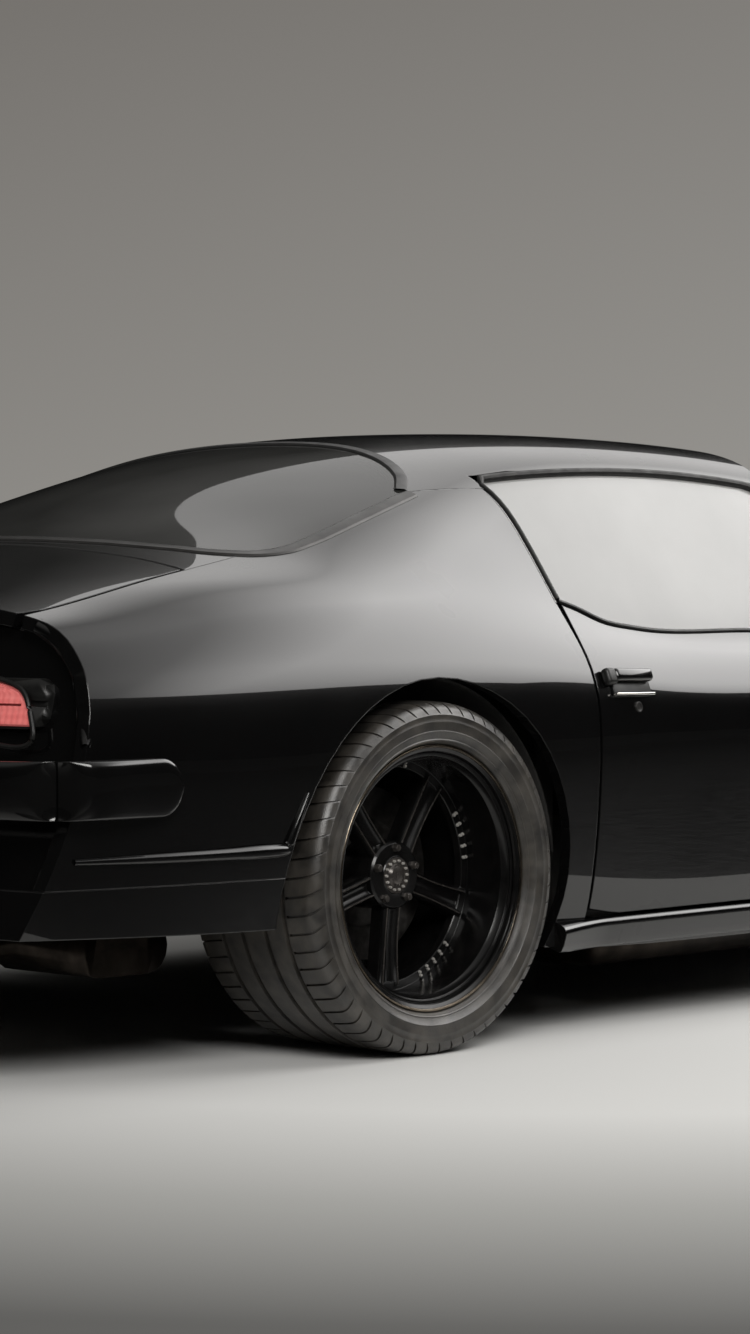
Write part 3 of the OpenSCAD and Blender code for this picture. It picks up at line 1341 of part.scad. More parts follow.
module muffler() {
    r = muffler_h / 2;
    hull() for (s = [-1, 1]) for (e = [[r, 0], [r - muffler_cone, muffler_cone]])
        translate([muffler_x - e[1], muffler_y + s * (muffler_w / 2 - r), pipe_z])
            along_x(e[0], 0, muffler_l + 2 * e[1], $fn = pin_sides);
}
// Short muffler across the car behind the axle
module rear_muffler() hull() for (x = rear_muffler_x) translate([x, 0, rear_muffler_z])
    along_y(rear_muffler_r, rear_muffler_y[0], rear_muffler_y[1], $fn = pin_sides);
module exhaust() color([0.3, 0.28, 0.26]) both_sides() trimmed() {
    pipe();
    muffler();
    rear_muffler();
    block([strap_x, muffler_y - strap_half, pipe_z],
        [strap_x + strap_l, muffler_y + strap_half, floor_z - floor_t - touch]);
}
tank_l = 470;
tank_w = 640;
tank_low_z = 190;
tank_gap = 330;
tank_round = 40;
module fuel_tank() color([0.16, 0.16, 0.17]) {
    x0 = rear_x - tank_gap - tank_l;
    translate([x0, 0, tank_low_z]) linear_extrude(trunk_floor_z - floor_t - touch - tank_low_z)
        union() {
            translate([0, -tank_w / 2 + tank_round]) square([tank_l, tank_w - 2 * tank_round]);
            translate([tank_round, -tank_w / 2]) square([tank_l - 2 * tank_round, tank_w]);
            for (x = [tank_round, tank_l - tank_round]) for (y = [-1, 1])
                translate([x, y * (tank_w / 2 - tank_round)]) circle(r = tank_round);
        }
}

/* Wheels */
module at_wheel(x, track, z) {
    translate([x, track / 2, z]) rotate([-90, 0, 0]) children();
}
groove_w = 9;
groove_d = 7;
shoulder = 34;
// Half of a tyre's section from the bead to the tread's middle. Columns: radius, distance from the middle.
function tyre_half(d, w, rim_w) = [[bead_d / 2 + touch, rim_w / 2 - lip_t - bead_step - touch],
    [rim_lip_d / 2 + 2, rim_w / 2 - lip_t - touch],
    [mix(rim_lip_d, d, 0.3) / 2, w / 2 - 4], [mix(rim_lip_d, d, 0.55) / 2, w / 2],
    [d / 2 - 12, w / 2 - 9], [d / 2 - 2, w / 2 - shoulder],
    [d / 2 - 1, w * 0.17 + groove_w], [d / 2 - groove_d, w * 0.17 + groove_w], [d / 2 - groove_d, w * 0.17],
    [d / 2, w * 0.17]];
function both_halves(h) = concat(h, [for (i = [len(h) - 1:-1:0]) [h[i][0], -h[i][1]]]);
module tyre(d, w, rim_w) color([0.07, 0.065, 0.06])
    rotate_extrude() polygon(both_halves(tyre_half(d, w, rim_w)));
barrel_t = 9;
lip_t = 8;
bead_step = 6;
lip_slope = 12;
spoke_depth = 34;
spoke_tip_w = 58;
rib_w = 11;
rib_h = 9;
hub_r = 66;
cap_r = 34;
cap_h = 14;
flange_w = 17;
module rim(rim_w, dish) color([0.04, 0.04, 0.04]) {
    h = rim_w / 2;
    lip_r = rim_lip_d / 2;
    seat_r = bead_d / 2;
    face = h - dish;
    rotate_extrude() polygon([[lip_r - 4, h], [lip_r, h], [lip_r, h - lip_t], [seat_r, h - lip_t - bead_step],
        [seat_r, lip_t + bead_step - h], [lip_r, lip_t - h], [lip_r, -h], [lip_r - 4, -h],
        [seat_r - barrel_t, lip_slope - h], [seat_r - barrel_t, h - lip_slope]]);
    difference() {
        union() {
            translate([0, 0, face - hub_l]) cylinder(r = hub_r, h = hub_l + 4);
            translate([0, 0, face + 3]) cylinder(r = cap_r, h = cap_h);
            translate([0, 0, face - hub_l]) cylinder(r = disc_d / 2, h = disc_t);
            for (i = [0:spoke_count - 1]) rotate([0, 0, 90 + 360 * i / spoke_count])
                spoke(face, seat_r - barrel_t);
        }
        translate([0, 0, face - hub_l - 1]) cylinder(r = stub_d / 2 + run_fit, h = hub_l - 4);
    }
    difference() {
        translate([0, 0, face - spoke_depth + 4]) cylinder(r = seat_r - barrel_t / 2, h = spoke_depth - 14);
        translate([0, 0, face - spoke_depth]) cylinder(r = seat_r - barrel_t - flange_w, h = spoke_depth);
    }
}
module spoke(face, r) {
    tip = r - flange_w / 2;
    translate([0, 0, face - spoke_depth]) linear_extrude(spoke_depth)
        polygon([[hub_r / 2, -spoke_w / 2], [tip, -spoke_tip_w / 2],
            [tip, spoke_tip_w / 2], [hub_r / 2, spoke_w / 2]]);
    for (s = [-1, 1]) translate([0, 0, face - 1]) linear_extrude(rib_h + 1) polygon([
        [hub_r / 2, s * spoke_w / 4], [tip - 8, s * (spoke_tip_w / 2 - rib_w)],
        [tip - 8, s * spoke_tip_w / 2], [hub_r / 2, s * (spoke_w / 4 + rib_w)]]);
}
module front_tyre() at_wheel(front_x, front_track, hub_z) tyre(front_tyre_d, front_tyre_w, front_rim_w);
module rear_tyre() at_wheel(rear_x, rear_track, axle_z) tyre(rear_tyre_d, rear_tyre_w, rear_rim_w);
module front_rim() at_wheel(front_x, front_track, hub_z) rim(front_rim_w, front_dish);
module rear_rim() at_wheel(rear_x, rear_track, axle_z) rim(rear_rim_w, rear_dish);
module tyre_front_left() front_tyre();
module tyre_front_right() right() front_tyre();
module tyre_rear_left() rear_tyre();
module tyre_rear_right() right() rear_tyre();
module rim_front_left() front_rim();
module rim_front_right() right() front_rim();
module rim_rear_left() rear_rim();
module rim_rear_right() right() rear_rim();

/* Cabin */
seat_x = rear_x + 770;
seat_y = 442 * ky;
// Side view of a front seat. Columns: distance ahead of the seat's rear foot, height above the floor.
seat_side = [[60, 0], [500, 0], [545, 60], [540, 140], [490, 178], [220, 150], [160, 190], [70, 560],
    [36, 700], [-30, 722], [-86, 690], [-60, 520], [20, 120]];
rear_seat_x = rear_x + 395;
rear_seat_half = rear_floor_half - 16;
rear_seat_side = [[40, 0], [300, 0], [312, 80], [285, 112], [80, 90], [-60, 405], [-128, 405], [-20, 60]];
module across_y(y0, y1) {
    translate([0, y1, 0]) rotate([90, 0, 0]) linear_extrude(y1 - y0) children();
}
module seats() color([0.08, 0.08, 0.085]) {
    half = seat_w * ky / 2;
    both_sides() translate([seat_x, 0, floor_z + touch]) across_y(seat_y - half, seat_y + half)
        polygon(seat_side);
    translate([rear_seat_x, 0, seat_pan_z + touch]) across_y(-rear_seat_half, rear_seat_half)
        polygon(rear_seat_side);
}
column_lean = 24;
column_pos = [door_front_x - 412, seat_y, 735 * kz];
column_r = 32;
column_shaft_r = 12;
column_l = 300;
dash_half = 640 * ky;
dash_low_z = 545 * kz;
dash_rear_x = door_front_x - 242;
dash_front_x = screen_foot_x - cowl_rear - screen_foot_bow * pow(dash_half / screen_foot_half, 2) - 6;
module on_column() translate(column_pos) rotate([0, column_lean - 90, 0]) children();
module dashboard() color([0.06, 0.06, 0.065]) difference() {
    union() {
        across_y(-dash_half, dash_half) polygon([[dash_rear_x, dash_low_z + 30], [dash_rear_x + 40, dash_low_z],
            [firewall_x - touch, dash_low_z], [firewall_x - touch, firewall_top_z - 6],
            [dash_front_x, firewall_top_z - 6], [dash_front_x - 8, 752 * kz], [dash_rear_x + 90, 768 * kz],
            [dash_rear_x + 10, 735 * kz]]);
        on_column() translate([0, 0, -column_l]) cylinder(r = column_r, h = column_l - 28);
    }
    on_column() translate([0, 0, -90]) cylinder(r = column_shaft_r + run_fit, h = 100);
}
wheel_rim_r = 14;
module steering_wheel() color([0.05, 0.05, 0.05]) on_column() {
    rotate_extrude() translate([steering_d / 2 - wheel_rim_r, 0]) circle(r = wheel_rim_r);
    translate([0, 0, -24]) cylinder(r = 46, h = 34);
    translate([0, 0, -80]) cylinder(r = column_shaft_r, h = 60);
    for (a = [0, 120, 240]) rotate([0, 0, a + 90]) translate([0, -17, -8])
        cube([steering_d / 2 - wheel_rim_r, 34, 7]);
}

roof();
quarters();
rear_panels();
rear_bumper();
rear_valance();
front_valance();
rockers();
fenders();
nose();
grille();
headlamps();
tail_lamps();
windshield();
pillars();
rear_window();
door_left();
door_right();
door_glass_left();
door_glass_right();
door_trim_left();
door_trim_right();
door_posts();
hood();
deck_lid();
cowl();
floor_pan();
inner_panels();
aprons();
engine();
drive_shaft();
exhaust();
fuel_tank();
rear_axle();
front_subframe();
knuckle_left();
knuckle_right();
tyre_front_left();
tyre_front_right();
tyre_rear_left();
tyre_rear_right();
rim_front_left();
rim_front_right();
rim_rear_left();
rim_rear_right();
seats();
dashboard();
steering_wheel();
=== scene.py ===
"""A black muscle car: painted shell, glass, lamps, wheels and cabin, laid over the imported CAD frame."""

import json
import math

import bmesh
import bpy
import numpy as np
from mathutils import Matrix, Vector

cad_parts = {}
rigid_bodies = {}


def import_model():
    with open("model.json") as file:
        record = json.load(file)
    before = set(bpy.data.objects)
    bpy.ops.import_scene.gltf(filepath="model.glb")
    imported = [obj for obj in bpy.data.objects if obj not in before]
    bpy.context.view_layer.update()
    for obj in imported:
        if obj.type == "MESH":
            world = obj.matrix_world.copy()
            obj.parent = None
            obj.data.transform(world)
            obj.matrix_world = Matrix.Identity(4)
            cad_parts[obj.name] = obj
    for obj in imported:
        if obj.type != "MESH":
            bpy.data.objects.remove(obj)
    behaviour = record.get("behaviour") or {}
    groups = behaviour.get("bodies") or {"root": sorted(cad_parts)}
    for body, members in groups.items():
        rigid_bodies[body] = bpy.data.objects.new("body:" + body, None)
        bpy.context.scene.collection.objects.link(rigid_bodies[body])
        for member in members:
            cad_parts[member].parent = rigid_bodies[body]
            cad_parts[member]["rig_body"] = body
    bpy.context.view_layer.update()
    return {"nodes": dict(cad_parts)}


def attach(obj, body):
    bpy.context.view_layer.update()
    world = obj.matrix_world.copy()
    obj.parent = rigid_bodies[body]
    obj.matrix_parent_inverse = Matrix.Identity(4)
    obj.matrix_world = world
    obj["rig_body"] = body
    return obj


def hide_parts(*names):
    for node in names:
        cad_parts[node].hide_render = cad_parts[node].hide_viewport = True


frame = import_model()
NODES = frame["nodes"]
MM = 0.001

# Main places of the car, in metres
REAR_X, FRONT_X = -1.390, 1.350
WHEELBASE, REAR_OVERHANG, FRONT_OVERHANG = 2.740, 1.000, 1.040
DOOR_REAR_X, DOOR_FRONT_X = -0.928, 0.462
TAIL_X, TAIL_Z, TAIL_R, TAIL_LEAN = -2.295, 0.600, 4.450, 13
NOSE_X, NOSE_Z, NOSE_R, NOSE_LEAN = 2.390, 0.430, 1.800, -7

# Body sections. Columns: station along the car, then y and z of sill, low, belly, waist, crest and hip.
SIDE_ROWS = [
    [-0.96, 770, 268, 812, 400, 822, 560, 803, 690, 748, 770, 690, 800],
    [-0.70, 830, 262, 868, 400, 880, 560, 862, 692, 795, 786, 710, 826],
    [-0.43, 862, 256, 903, 400, 915, 570, 893, 700, 828, 808, 738, 870],
    [-0.16, 872, 250, 918, 400, 932, 580, 911, 710, 848, 815, 772, 880],
    [0.040, 875, 205, 920, 380, 935, 580, 913, 715, 852, 815, 788, 882],
    [0.139, 868, 170, 908, 320, 926, 560, 906, 700, 852, 792, 797, 865],
    [0.248, 858, 158, 890, 265, 915, 540, 901, 670, 848, 752, 806, 802],
    [0.380, 853, 155, 884, 248, 913, 530, 901, 655, 851, 735, 808, 779],
    [0.547, 851, 155, 882, 248, 910, 530, 898, 655, 850, 735, 806, 777],
    [0.693, 850, 155, 880, 250, 908, 532, 896, 660, 849, 745, 800, 793],
    [0.840, 850, 158, 880, 260, 909, 540, 894, 670, 840, 764, 768, 803],
    [1.000, 850, 215, 888, 370, 914, 560, 894, 690, 828, 778, 742, 806],
    [1.394, 822, 240, 868, 390, 893, 560, 873, 690, 803, 768, 716, 789],
    [1.731, 782, 250, 826, 395, 850, 550, 831, 668, 762, 743, 682, 760],
    [2.067, 735, 258, 778, 395, 800, 540, 781, 642, 716, 706, 640, 720],
]
# Tops of the sections, y and z of pillar, rail, crown and middle
ROOF_ROWS = [
    [560, 824, 420, 838, 220, 848, 0, 852],
    [575, 852, 425, 868, 222, 880, 0, 885],
    [612, 900, 450, 918, 232, 931, 0, 936],
    [655, 928, 505, 965, 262, 993, 0, 1003],
    [690, 962, 560, 1020, 300, 1075, 0, 1092],
    [703, 980, 584, 1067, 332, 1137, 0, 1156],
    [716, 950, 604, 1112, 350, 1176, 0, 1190],
    [720, 940, 610, 1120, 356, 1184, 0, 1196],
    [712, 922, 598, 1098, 346, 1167, 0, 1180],
    [690, 828, 585, 1035, 336, 1120, 0, 1136],
]
HOOD_ROWS = [
    [700, 826, 505, 850, 252, 866, 0, 872],
    [692, 828, 500, 850, 250, 866, 0, 872],
    [662, 827, 482, 846, 241, 862, 0, 868],
    [641, 822, 466, 836, 235, 850, 0, 856],
    [616, 800, 451, 811, 230, 823, 0, 828],
    [586, 768, 431, 777, 220, 786, 0, 791],
    [551, 728, 405, 736, 210, 744, 0, 748],
]
# Places across the body surface: the middle of the car, and a place on the shoulder under the glass
V_MID, V_SHOULDER = 9, 4.5
# Fine copies of CAD panels: their longest edge, how near and how alike in direction a face lies to its surface,
# and the angle in degrees from which an edge of a plain copy stays sharp
PANEL_EDGE, PANEL_NEAR, PANEL_ALIKE, SHARP_ANGLE = 0.026, 0.010, 0.8, 32
FLIP = np.array([1.0, -1.0, 1.0])


# --- Body surface ---


def unit(vectors):
    """The vectors at a length of one."""
    return vectors / np.linalg.norm(vectors, axis=-1, keepdims=True)


def side_of(y):
    """Factors that carry left-hand points over to the side of the car that y is on."""
    side = np.where(y < 0, -1.0, 1.0)
    return np.stack([np.ones_like(side), side, np.ones_like(side)], axis=1)


def run_of(line):
    """Distance along a line at each of its points."""
    return np.concatenate([[0], np.cumsum(np.linalg.norm(np.diff(line, axis=0), axis=1))])


def blend(t):
    """Weights of the four net points next to t, on a cubic B-spline."""
    t = np.asarray(t)[..., None]
    return np.concatenate(
        [(1 - t) ** 3, 3 * t**3 - 6 * t**2 + 4, -3 * t**3 + 3 * t**2 + 3 * t + 1, t**3], axis=-1
    ) / 6


def fair(points):
    """Moves each inner point so that the spline passes close to the original one."""
    out = points.copy()
    out[1:-1] -= (points[:-2] - 2 * points[1:-1] + points[2:]) / 6
    return out


def along(station):
    """Place on the car's length of a station, where 0 is the rear axle and 1 the front axle."""
    behind = REAR_X + station * REAR_OVERHANG
    between = REAR_X + station * WHEELBASE
    ahead = FRONT_X + (station - 1) * FRONT_OVERHANG
    return np.where(station < 0, behind, np.where(station > 1, ahead, between))


class Skin:
    """A body surface: a net of section points, mirrored at the middle of the car."""

    def __init__(self, tops):
        side = np.array(SIDE_ROWS)
        points = np.zeros((len(side), V_MID + 1, 3))
        points[:, :, 0] = along(side[:, 0])[:, None]
        points[:, :6, 1:] = side[:, 1:].reshape(-1, 6, 2) * MM
        points[:, 6:, 1:] = np.array(tops).reshape(-1, 4, 2) * MM
        points = fair(points)
        rows = np.swapaxes(fair(np.swapaxes(points, 0, 1)), 0, 1)
        rows[:, -1] = points[:, -1] - (points[:, -2] * (1 + FLIP) - 2 * points[:, -1]) / 6
        rows = np.concatenate([2 * rows[:, :1] - rows[:, 1:2], rows, rows[:, -2:-1] * FLIP], axis=1)
        self.net = np.concatenate([2 * rows[:1] - rows[1:2], rows, 2 * rows[-1:] - rows[-2:-1]])
        self.u_line = np.linspace(0, len(self.net) - 3, 1201)
        self.x_line = self.at(self.u_line, np.zeros(1201))[:, 0]

    def at(self, u, v):
        """Points of the surface. v runs from the sill (0) to the middle (9) and down the other side."""
        past = v > V_MID
        v = np.where(past, 2 * V_MID - v, v)
        i = np.clip(np.floor(u).astype(int), 0, len(self.net) - 4)
        j = np.clip(np.floor(v).astype(int), 0, V_MID - 1)
        k = np.arange(4)
        near = self.net[i[:, None, None] + k[:, None], j[:, None, None] + k]
        p = np.einsum("nk,nl,nklc->nc", blend(u - i), blend(v - j), near)
        p[past] *= FLIP
        return p

    def project(self, points):
        """Nearest surface points, each in its own cross-section, with the outward normals there."""
        parts = [self._project(points[i : i + 4000]) for i in range(0, len(points), 4000)]
        return np.concatenate([a for a, _ in parts]), np.concatenate([b for _, b in parts])

    def _project(self, points):
        """One batch of project: tries places across each section, in ever finer steps."""
        n = len(points)
        target = np.stack([np.abs(points[:, 1]), points[:, 2]], axis=1)
        u = np.interp(points[:, 0], self.x_line, self.u_line)
        i = np.clip(np.floor(u).astype(int), 0, len(self.net) - 4)
        rows = np.einsum("nk,nkjc->njc", blend(u - i), self.net[i[:, None] + np.arange(4)])
        v = np.full(n, V_MID / 2)
        for reach, count in ((V_MID / 2, 61), (0.2, 21), (0.02, 21)):
            tries = np.clip(v[:, None] + np.linspace(-reach, reach, count), 0, V_MID)
            j = np.clip(np.floor(tries).astype(int), 0, V_MID - 1)
            near = rows[np.arange(n)[:, None, None], j[..., None] + np.arange(4), 1:]
            found = np.einsum("nmk,nmkc->nmc", blend(tries - j), near)
            best = ((found - target[:, None]) ** 2).sum(-1).argmin(1)
            v = tries[np.arange(n), best]
        return self._with_normal(u, v, side_of(points[:, 1]))

    def _with_normal(self, u, v, mirror):
        step = 0.01
        across = self.at(u, v + step) - self.at(u, v - step)
        ahead = self.at(u + step, v) - self.at(u - step, v)
        return self.at(u, v) * mirror, unit(np.cross(across, ahead)) * mirror

    def _halve(self, u, low, high, short):
        """Places v between two limits, found by halving. short tells which points are still below the goal."""
        lo, hi = np.full(len(u), float(low)), np.full(len(u), float(high))
        for _ in range(24):
            mid = (lo + hi) / 2
            below = short(self.at(u, mid))
            lo, hi = np.where(below, mid, lo), np.where(below, hi, mid)
        return (lo + hi) / 2

    def above(self, x, y):
        """Surface points over places of the plan view, with normals."""
        u = np.interp(x, self.x_line, self.u_line)
        v = self._halve(u, V_SHOULDER, V_MID, lambda p: p[:, 1] > np.abs(y))
        return self._with_normal(u, v, side_of(y))

    def beside(self, x, z, low=1.0, high=5.0):
        """Left-hand surface points at places of the side view, with normals."""
        u = np.interp(x, self.x_line, self.u_line)
        v = self._halve(u, low, high, lambda p: p[:, 2] < z)
        return self._with_normal(u, v, side_of(np.ones(len(x))))


class Arc:
    """Tail or nose face: part of a wide upright cylinder that leans."""

    def __init__(self, x, z, radius, lean):
        self.base = np.array([x, 0.0, z])
        self.radius = radius
        self.cos, self.sin = math.cos(math.radians(lean)), math.sin(math.radians(lean))

    def project(self, points):
        d = points - self.base
        out = unit(np.stack([d[:, 0] * self.cos - d[:, 2] * self.sin - self.radius, d[:, 1]], axis=1))
        up = d[:, 0] * self.sin + d[:, 2] * self.cos
        x = out[:, 0] * abs(self.radius) + self.radius
        place = [x * self.cos + up * self.sin, out[:, 1] * abs(self.radius), up * self.cos - x * self.sin]
        normal = [out[:, 0] * self.cos, out[:, 1], -out[:, 0] * self.sin]
        return np.stack(place, axis=1) + self.base, np.stack(normal, axis=1)


ROOF = Skin(ROOF_ROWS + ROOF_ROWS[-1:] * (len(SIDE_ROWS) - len(ROOF_ROWS)))
HOOD = Skin(HOOD_ROWS[:1] * (len(SIDE_ROWS) - len(HOOD_ROWS)) + HOOD_ROWS)


def tail_face(shift):
    return Arc(TAIL_X + shift, TAIL_Z, TAIL_R, TAIL_LEAN)


def nose_face(shift):
    return Arc(NOSE_X - shift, NOSE_Z, -NOSE_R, NOSE_LEAN)


# --- Materials ---


def add_node(tree, kind, **sockets):
    """A new shader node with values on some of its input sockets."""
    node = tree.nodes.new("ShaderNode" + kind)
    for socket, value in sockets.items():
        node.inputs[socket.replace("_", " ")].default_value = value
    return node


def add_ramp(tree, fac, stops):
    """Colours by a value. Stops are (place, colour)."""
    node = add_node(tree, "ValToRGB")
    elements = node.color_ramp.elements
    while len(elements) < len(stops):
        elements.new(0.5)
    for element, (place, rgb) in zip(elements, stops):
        element.position = place
        element.color = (*rgb, 1)
    tree.links.new(fac, node.inputs["Fac"])
    return node.outputs["Color"]


def add_span(tree, value, low, high, to_low=0.0, to_high=1.0):
    """A value carried over from one range to another."""
    node = add_node(tree, "MapRange", From_Min=low, From_Max=high, To_Min=to_low, To_Max=to_high)
    tree.links.new(value, node.inputs["Value"])
    return node.outputs["Result"]


def add_mix(tree, fac, first, second):
    """Two shaders mixed by a value."""
    node = add_node(tree, "MixShader")
    for k, source in enumerate((fac, first, second)):
        tree.links.new(source, node.inputs[k])
    return node.outputs["Shader"]


class Look:
    """A material under construction: a shader with helpers that lay procedural detail on its sockets."""

    def __init__(self, name, **sockets):
        self.material = bpy.data.materials.new(name)
        self.material.use_nodes = True
        self.tree = self.material.node_tree
        self.shader = self.tree.nodes["Principled BSDF"]
        for socket, value in sockets.items():
            self.shader.inputs[socket.replace("_", " ")].default_value = value
        self.coords = add_node(self.tree, "TexCoord").outputs["Object"]

    def link(self, a, b):
        self.tree.links.new(a, b)

    def noise(self, scale, detail=4.0, distortion=0.0):
        node = add_node(self.tree, "TexNoise", Scale=scale, Detail=detail, Distortion=distortion)
        self.link(self.coords, node.inputs["Vector"])
        return node.outputs["Fac"]

    def colour(self, fac, *stops):
        """Base colour by a value."""
        self.link(add_ramp(self.tree, fac, stops), self.shader.inputs["Base Color"])

    def spread(self, socket, fac, low, high):
        """A socket that varies between two values with a noise."""
        self.link(add_span(self.tree, fac, 0.3, 0.7, low, high), self.shader.inputs[socket])

    def bump(self, fac, strength, distance=0.001, rounded=0.0):
        """Surface relief from a noise, with edges rounded by a small radius if one is given."""
        node = add_node(self.tree, "Bump", Strength=strength, Distance=distance)
        self.link(fac, node.inputs["Height"])
        if rounded:
            bevel = add_node(self.tree, "Bevel", Radius=rounded)
            bevel.samples = 6
            self.link(bevel.outputs["Normal"], node.inputs["Normal"])
        for socket in ("Normal", "Coat Normal"):
            self.link(node.outputs["Normal"], self.shader.inputs[socket])


def bare_material(name):
    """A material with an empty node tree, and its output."""
    material = bpy.data.materials.new(name)
    material.use_nodes = True
    material.node_tree.nodes.clear()
    out = add_node(material.node_tree, "OutputMaterial")
    return material, material.node_tree, out.inputs["Surface"]


def paint_look():
    look = Look("black_paint", Specular_IOR_Level=0.08, Coat_Weight=1.0, Coat_IOR=1.6)
    flake = look.noise(2600, 2)
    look.colour(flake, (0.30, (0.0020, 0.0020, 0.0021)), (0.72, (0.0050, 0.0048, 0.0049)))
    look.spread("Roughness", look.noise(5, 3), 0.20, 0.28)
    look.spread("Coat Roughness", look.noise(2.2, 5), 0.004, 0.014)
    look.bump(look.noise(120, 2), 0.0035, 0.001, rounded=0.003)
    return look.material


def plain_look(name, dark, light, rough, scale=30, relief=0.12, rounded=0.0, **sockets):
    """A surface between two tones, with mottled gloss and a fine grain."""
    look = Look(name, **sockets)
    look.colour(look.noise(scale, 6, 0.4), (0.32, dark), (0.70, light))
    look.spread("Roughness", look.noise(scale * 0.6, 5), rough[0], rough[1])
    look.bump(look.noise(scale * 14, 3), relief, 0.0008, rounded=rounded)
    return look.material


def glass_look(name, tint, sheen_tone, sheen_share):
    """Thin glass: see-through with a tint, a pale diffuse layer over part of it that is a painted reflection of
    bright light, and a mirror that grows at a slant.
    """
    material, tree, surface = bare_material(name)
    clear = add_node(tree, "BsdfTransparent", Color=(*tint, 1))
    # Pale diffuse layer: painted reflection, in patches set by a noise
    painted_sheen = add_node(tree, "BsdfDiffuse", Color=(*sheen_tone, 1))
    mirror = add_node(tree, "BsdfGlossy", Roughness=0.02)
    sheen_patches = add_node(tree, "TexNoise", Scale=3.0, Detail=5.0)
    tree.links.new(add_node(tree, "TexCoord").outputs["Object"], sheen_patches.inputs["Vector"])
    amount = add_span(tree, sheen_patches.outputs["Fac"], 0.3, 0.7, *sheen_share)
    slant = add_node(tree, "Fresnel", IOR=1.5)
    body = add_mix(tree, amount, clear.outputs["BSDF"], painted_sheen.outputs["BSDF"])
    tree.links.new(add_mix(tree, slant.outputs["Fac"], body, mirror.outputs["BSDF"]), surface)
    return material


PAINT = paint_look()
BLACK_TRIM = plain_look("black_trim", (0.006, 0.006, 0.006), (0.014, 0.014, 0.013), (0.30, 0.48), 40, 0.10, 0.001)
RUBBER = plain_look("seal_rubber", (0.008, 0.008, 0.008), (0.018, 0.017, 0.016), (0.45, 0.65), 60, 0.20)
GREY_TRIM = plain_look("grey_moulding", (0.030, 0.029, 0.028), (0.052, 0.050, 0.048), (0.28, 0.40), 25, 0.05,
                       0.001, Metallic=0.4)
BRIGHT = plain_look("bright_metal", (0.55, 0.53, 0.50), (0.72, 0.70, 0.67), (0.12, 0.24), 50, 0.06, 0.0006,
                    Metallic=1.0)
BRONZE = plain_look("polished_lip", (0.20, 0.165, 0.125), (0.32, 0.27, 0.21), (0.14, 0.26), 60, 0.06, 0.0008,
                    Metallic=1.0)
ALLOY = plain_look("black_alloy", (0.003, 0.003, 0.003), (0.007, 0.0065, 0.0065), (0.14, 0.26), 30, 0.05, 0.0015,
                   Specular_IOR_Level=0.45)
# Studs, rivets, bolts, knobs, bulbs and gauge marks: a pale, half-diffuse colour; on the metal studs its lightness is
# a painted glint of polished metal
STUDS = plain_look("pale_studs_painted_glint", (0.50, 0.48, 0.45), (0.70, 0.68, 0.64), (0.16, 0.30), 90, 0.05, Metallic=0.45)
# Lug nuts and hub cap in a darkish metal; on the thin strips along the spoke ridges the same lighter colour is a
# painted glint
RIDGE = plain_look("hub_metal_and_ridge_glint", (0.060, 0.054, 0.050), (0.11, 0.10, 0.092), (0.18, 0.30), 90, 0.08, 0.0008,
                   Metallic=0.6)
DISC = plain_look("brake_disc", (0.05, 0.047, 0.044), (0.10, 0.095, 0.09), (0.30, 0.50), 60, 0.20, Metallic=0.9)
TYRE = plain_look("tyre_rubber", (0.012, 0.0105, 0.009), (0.062, 0.055, 0.046), (0.32, 0.52), 24, 0.45,
                  Specular_IOR_Level=1.0)
UNDER = plain_look("under_coat", (0.010, 0.010, 0.010), (0.026, 0.024, 0.022), (0.55, 0.85), 20, 0.50)
STEEL = plain_look("raw_steel", (0.10, 0.095, 0.09), (0.19, 0.18, 0.17), (0.32, 0.55), 30, 0.20, Metallic=0.8)
PIPE = plain_look("exhaust_steel", (0.018, 0.014, 0.011), (0.055, 0.044, 0.035), (0.28, 0.48), 16, 0.20,
                  Metallic=0.85)
CAST = plain_look("cast_iron", (0.05, 0.048, 0.045), (0.10, 0.095, 0.09), (0.50, 0.75), 45, 0.50, Metallic=0.4)
ENGINE = plain_look("engine_metal", (0.09, 0.09, 0.092), (0.18, 0.18, 0.18), (0.35, 0.60), 35, 0.40, Metallic=0.6)
DASH = plain_look("dash_plastic", (0.012, 0.012, 0.013), (0.024, 0.023, 0.023), (0.50, 0.70), 80, 0.50)
GRIP = plain_look("grip_leather", (0.010, 0.010, 0.010), (0.022, 0.021, 0.020), (0.40, 0.58), 120, 0.60)
HIDE = plain_look("seat_hide", (0.014, 0.013, 0.013), (0.034, 0.032, 0.031), (0.38, 0.58), 90, 0.60)
# The red lens's faint emission is painted light: a glow that brightens the lens, with no lamp lit behind it
RED_LENS = plain_look("red_lens", (0.80, 0.17, 0.16), (0.92, 0.28, 0.26), (0.10, 0.20), 50, 0.06, 0.001,
                      Coat_Weight=1.0, Emission_Color=(0.9, 0.20, 0.19, 1), Emission_Strength=0.30)
# Dark red of the tail lamp's bar is painted shade of a groove in the lens; the gauge needles have it as their own
# colour
LENS_BAR = plain_look("lens_bar", (0.16, 0.012, 0.012), (0.24, 0.024, 0.022), (0.15, 0.30), 50, 0.06)
FILTER = plain_look("filter_paper", (0.26, 0.085, 0.045), (0.40, 0.16, 0.085), (0.70, 0.90), 60, 0.30)
LAMP_BOWL = plain_look("lamp_bowl", (0.60, 0.60, 0.60), (0.80, 0.80, 0.80), (0.08, 0.18), 40, 0.05, Metallic=1.0)
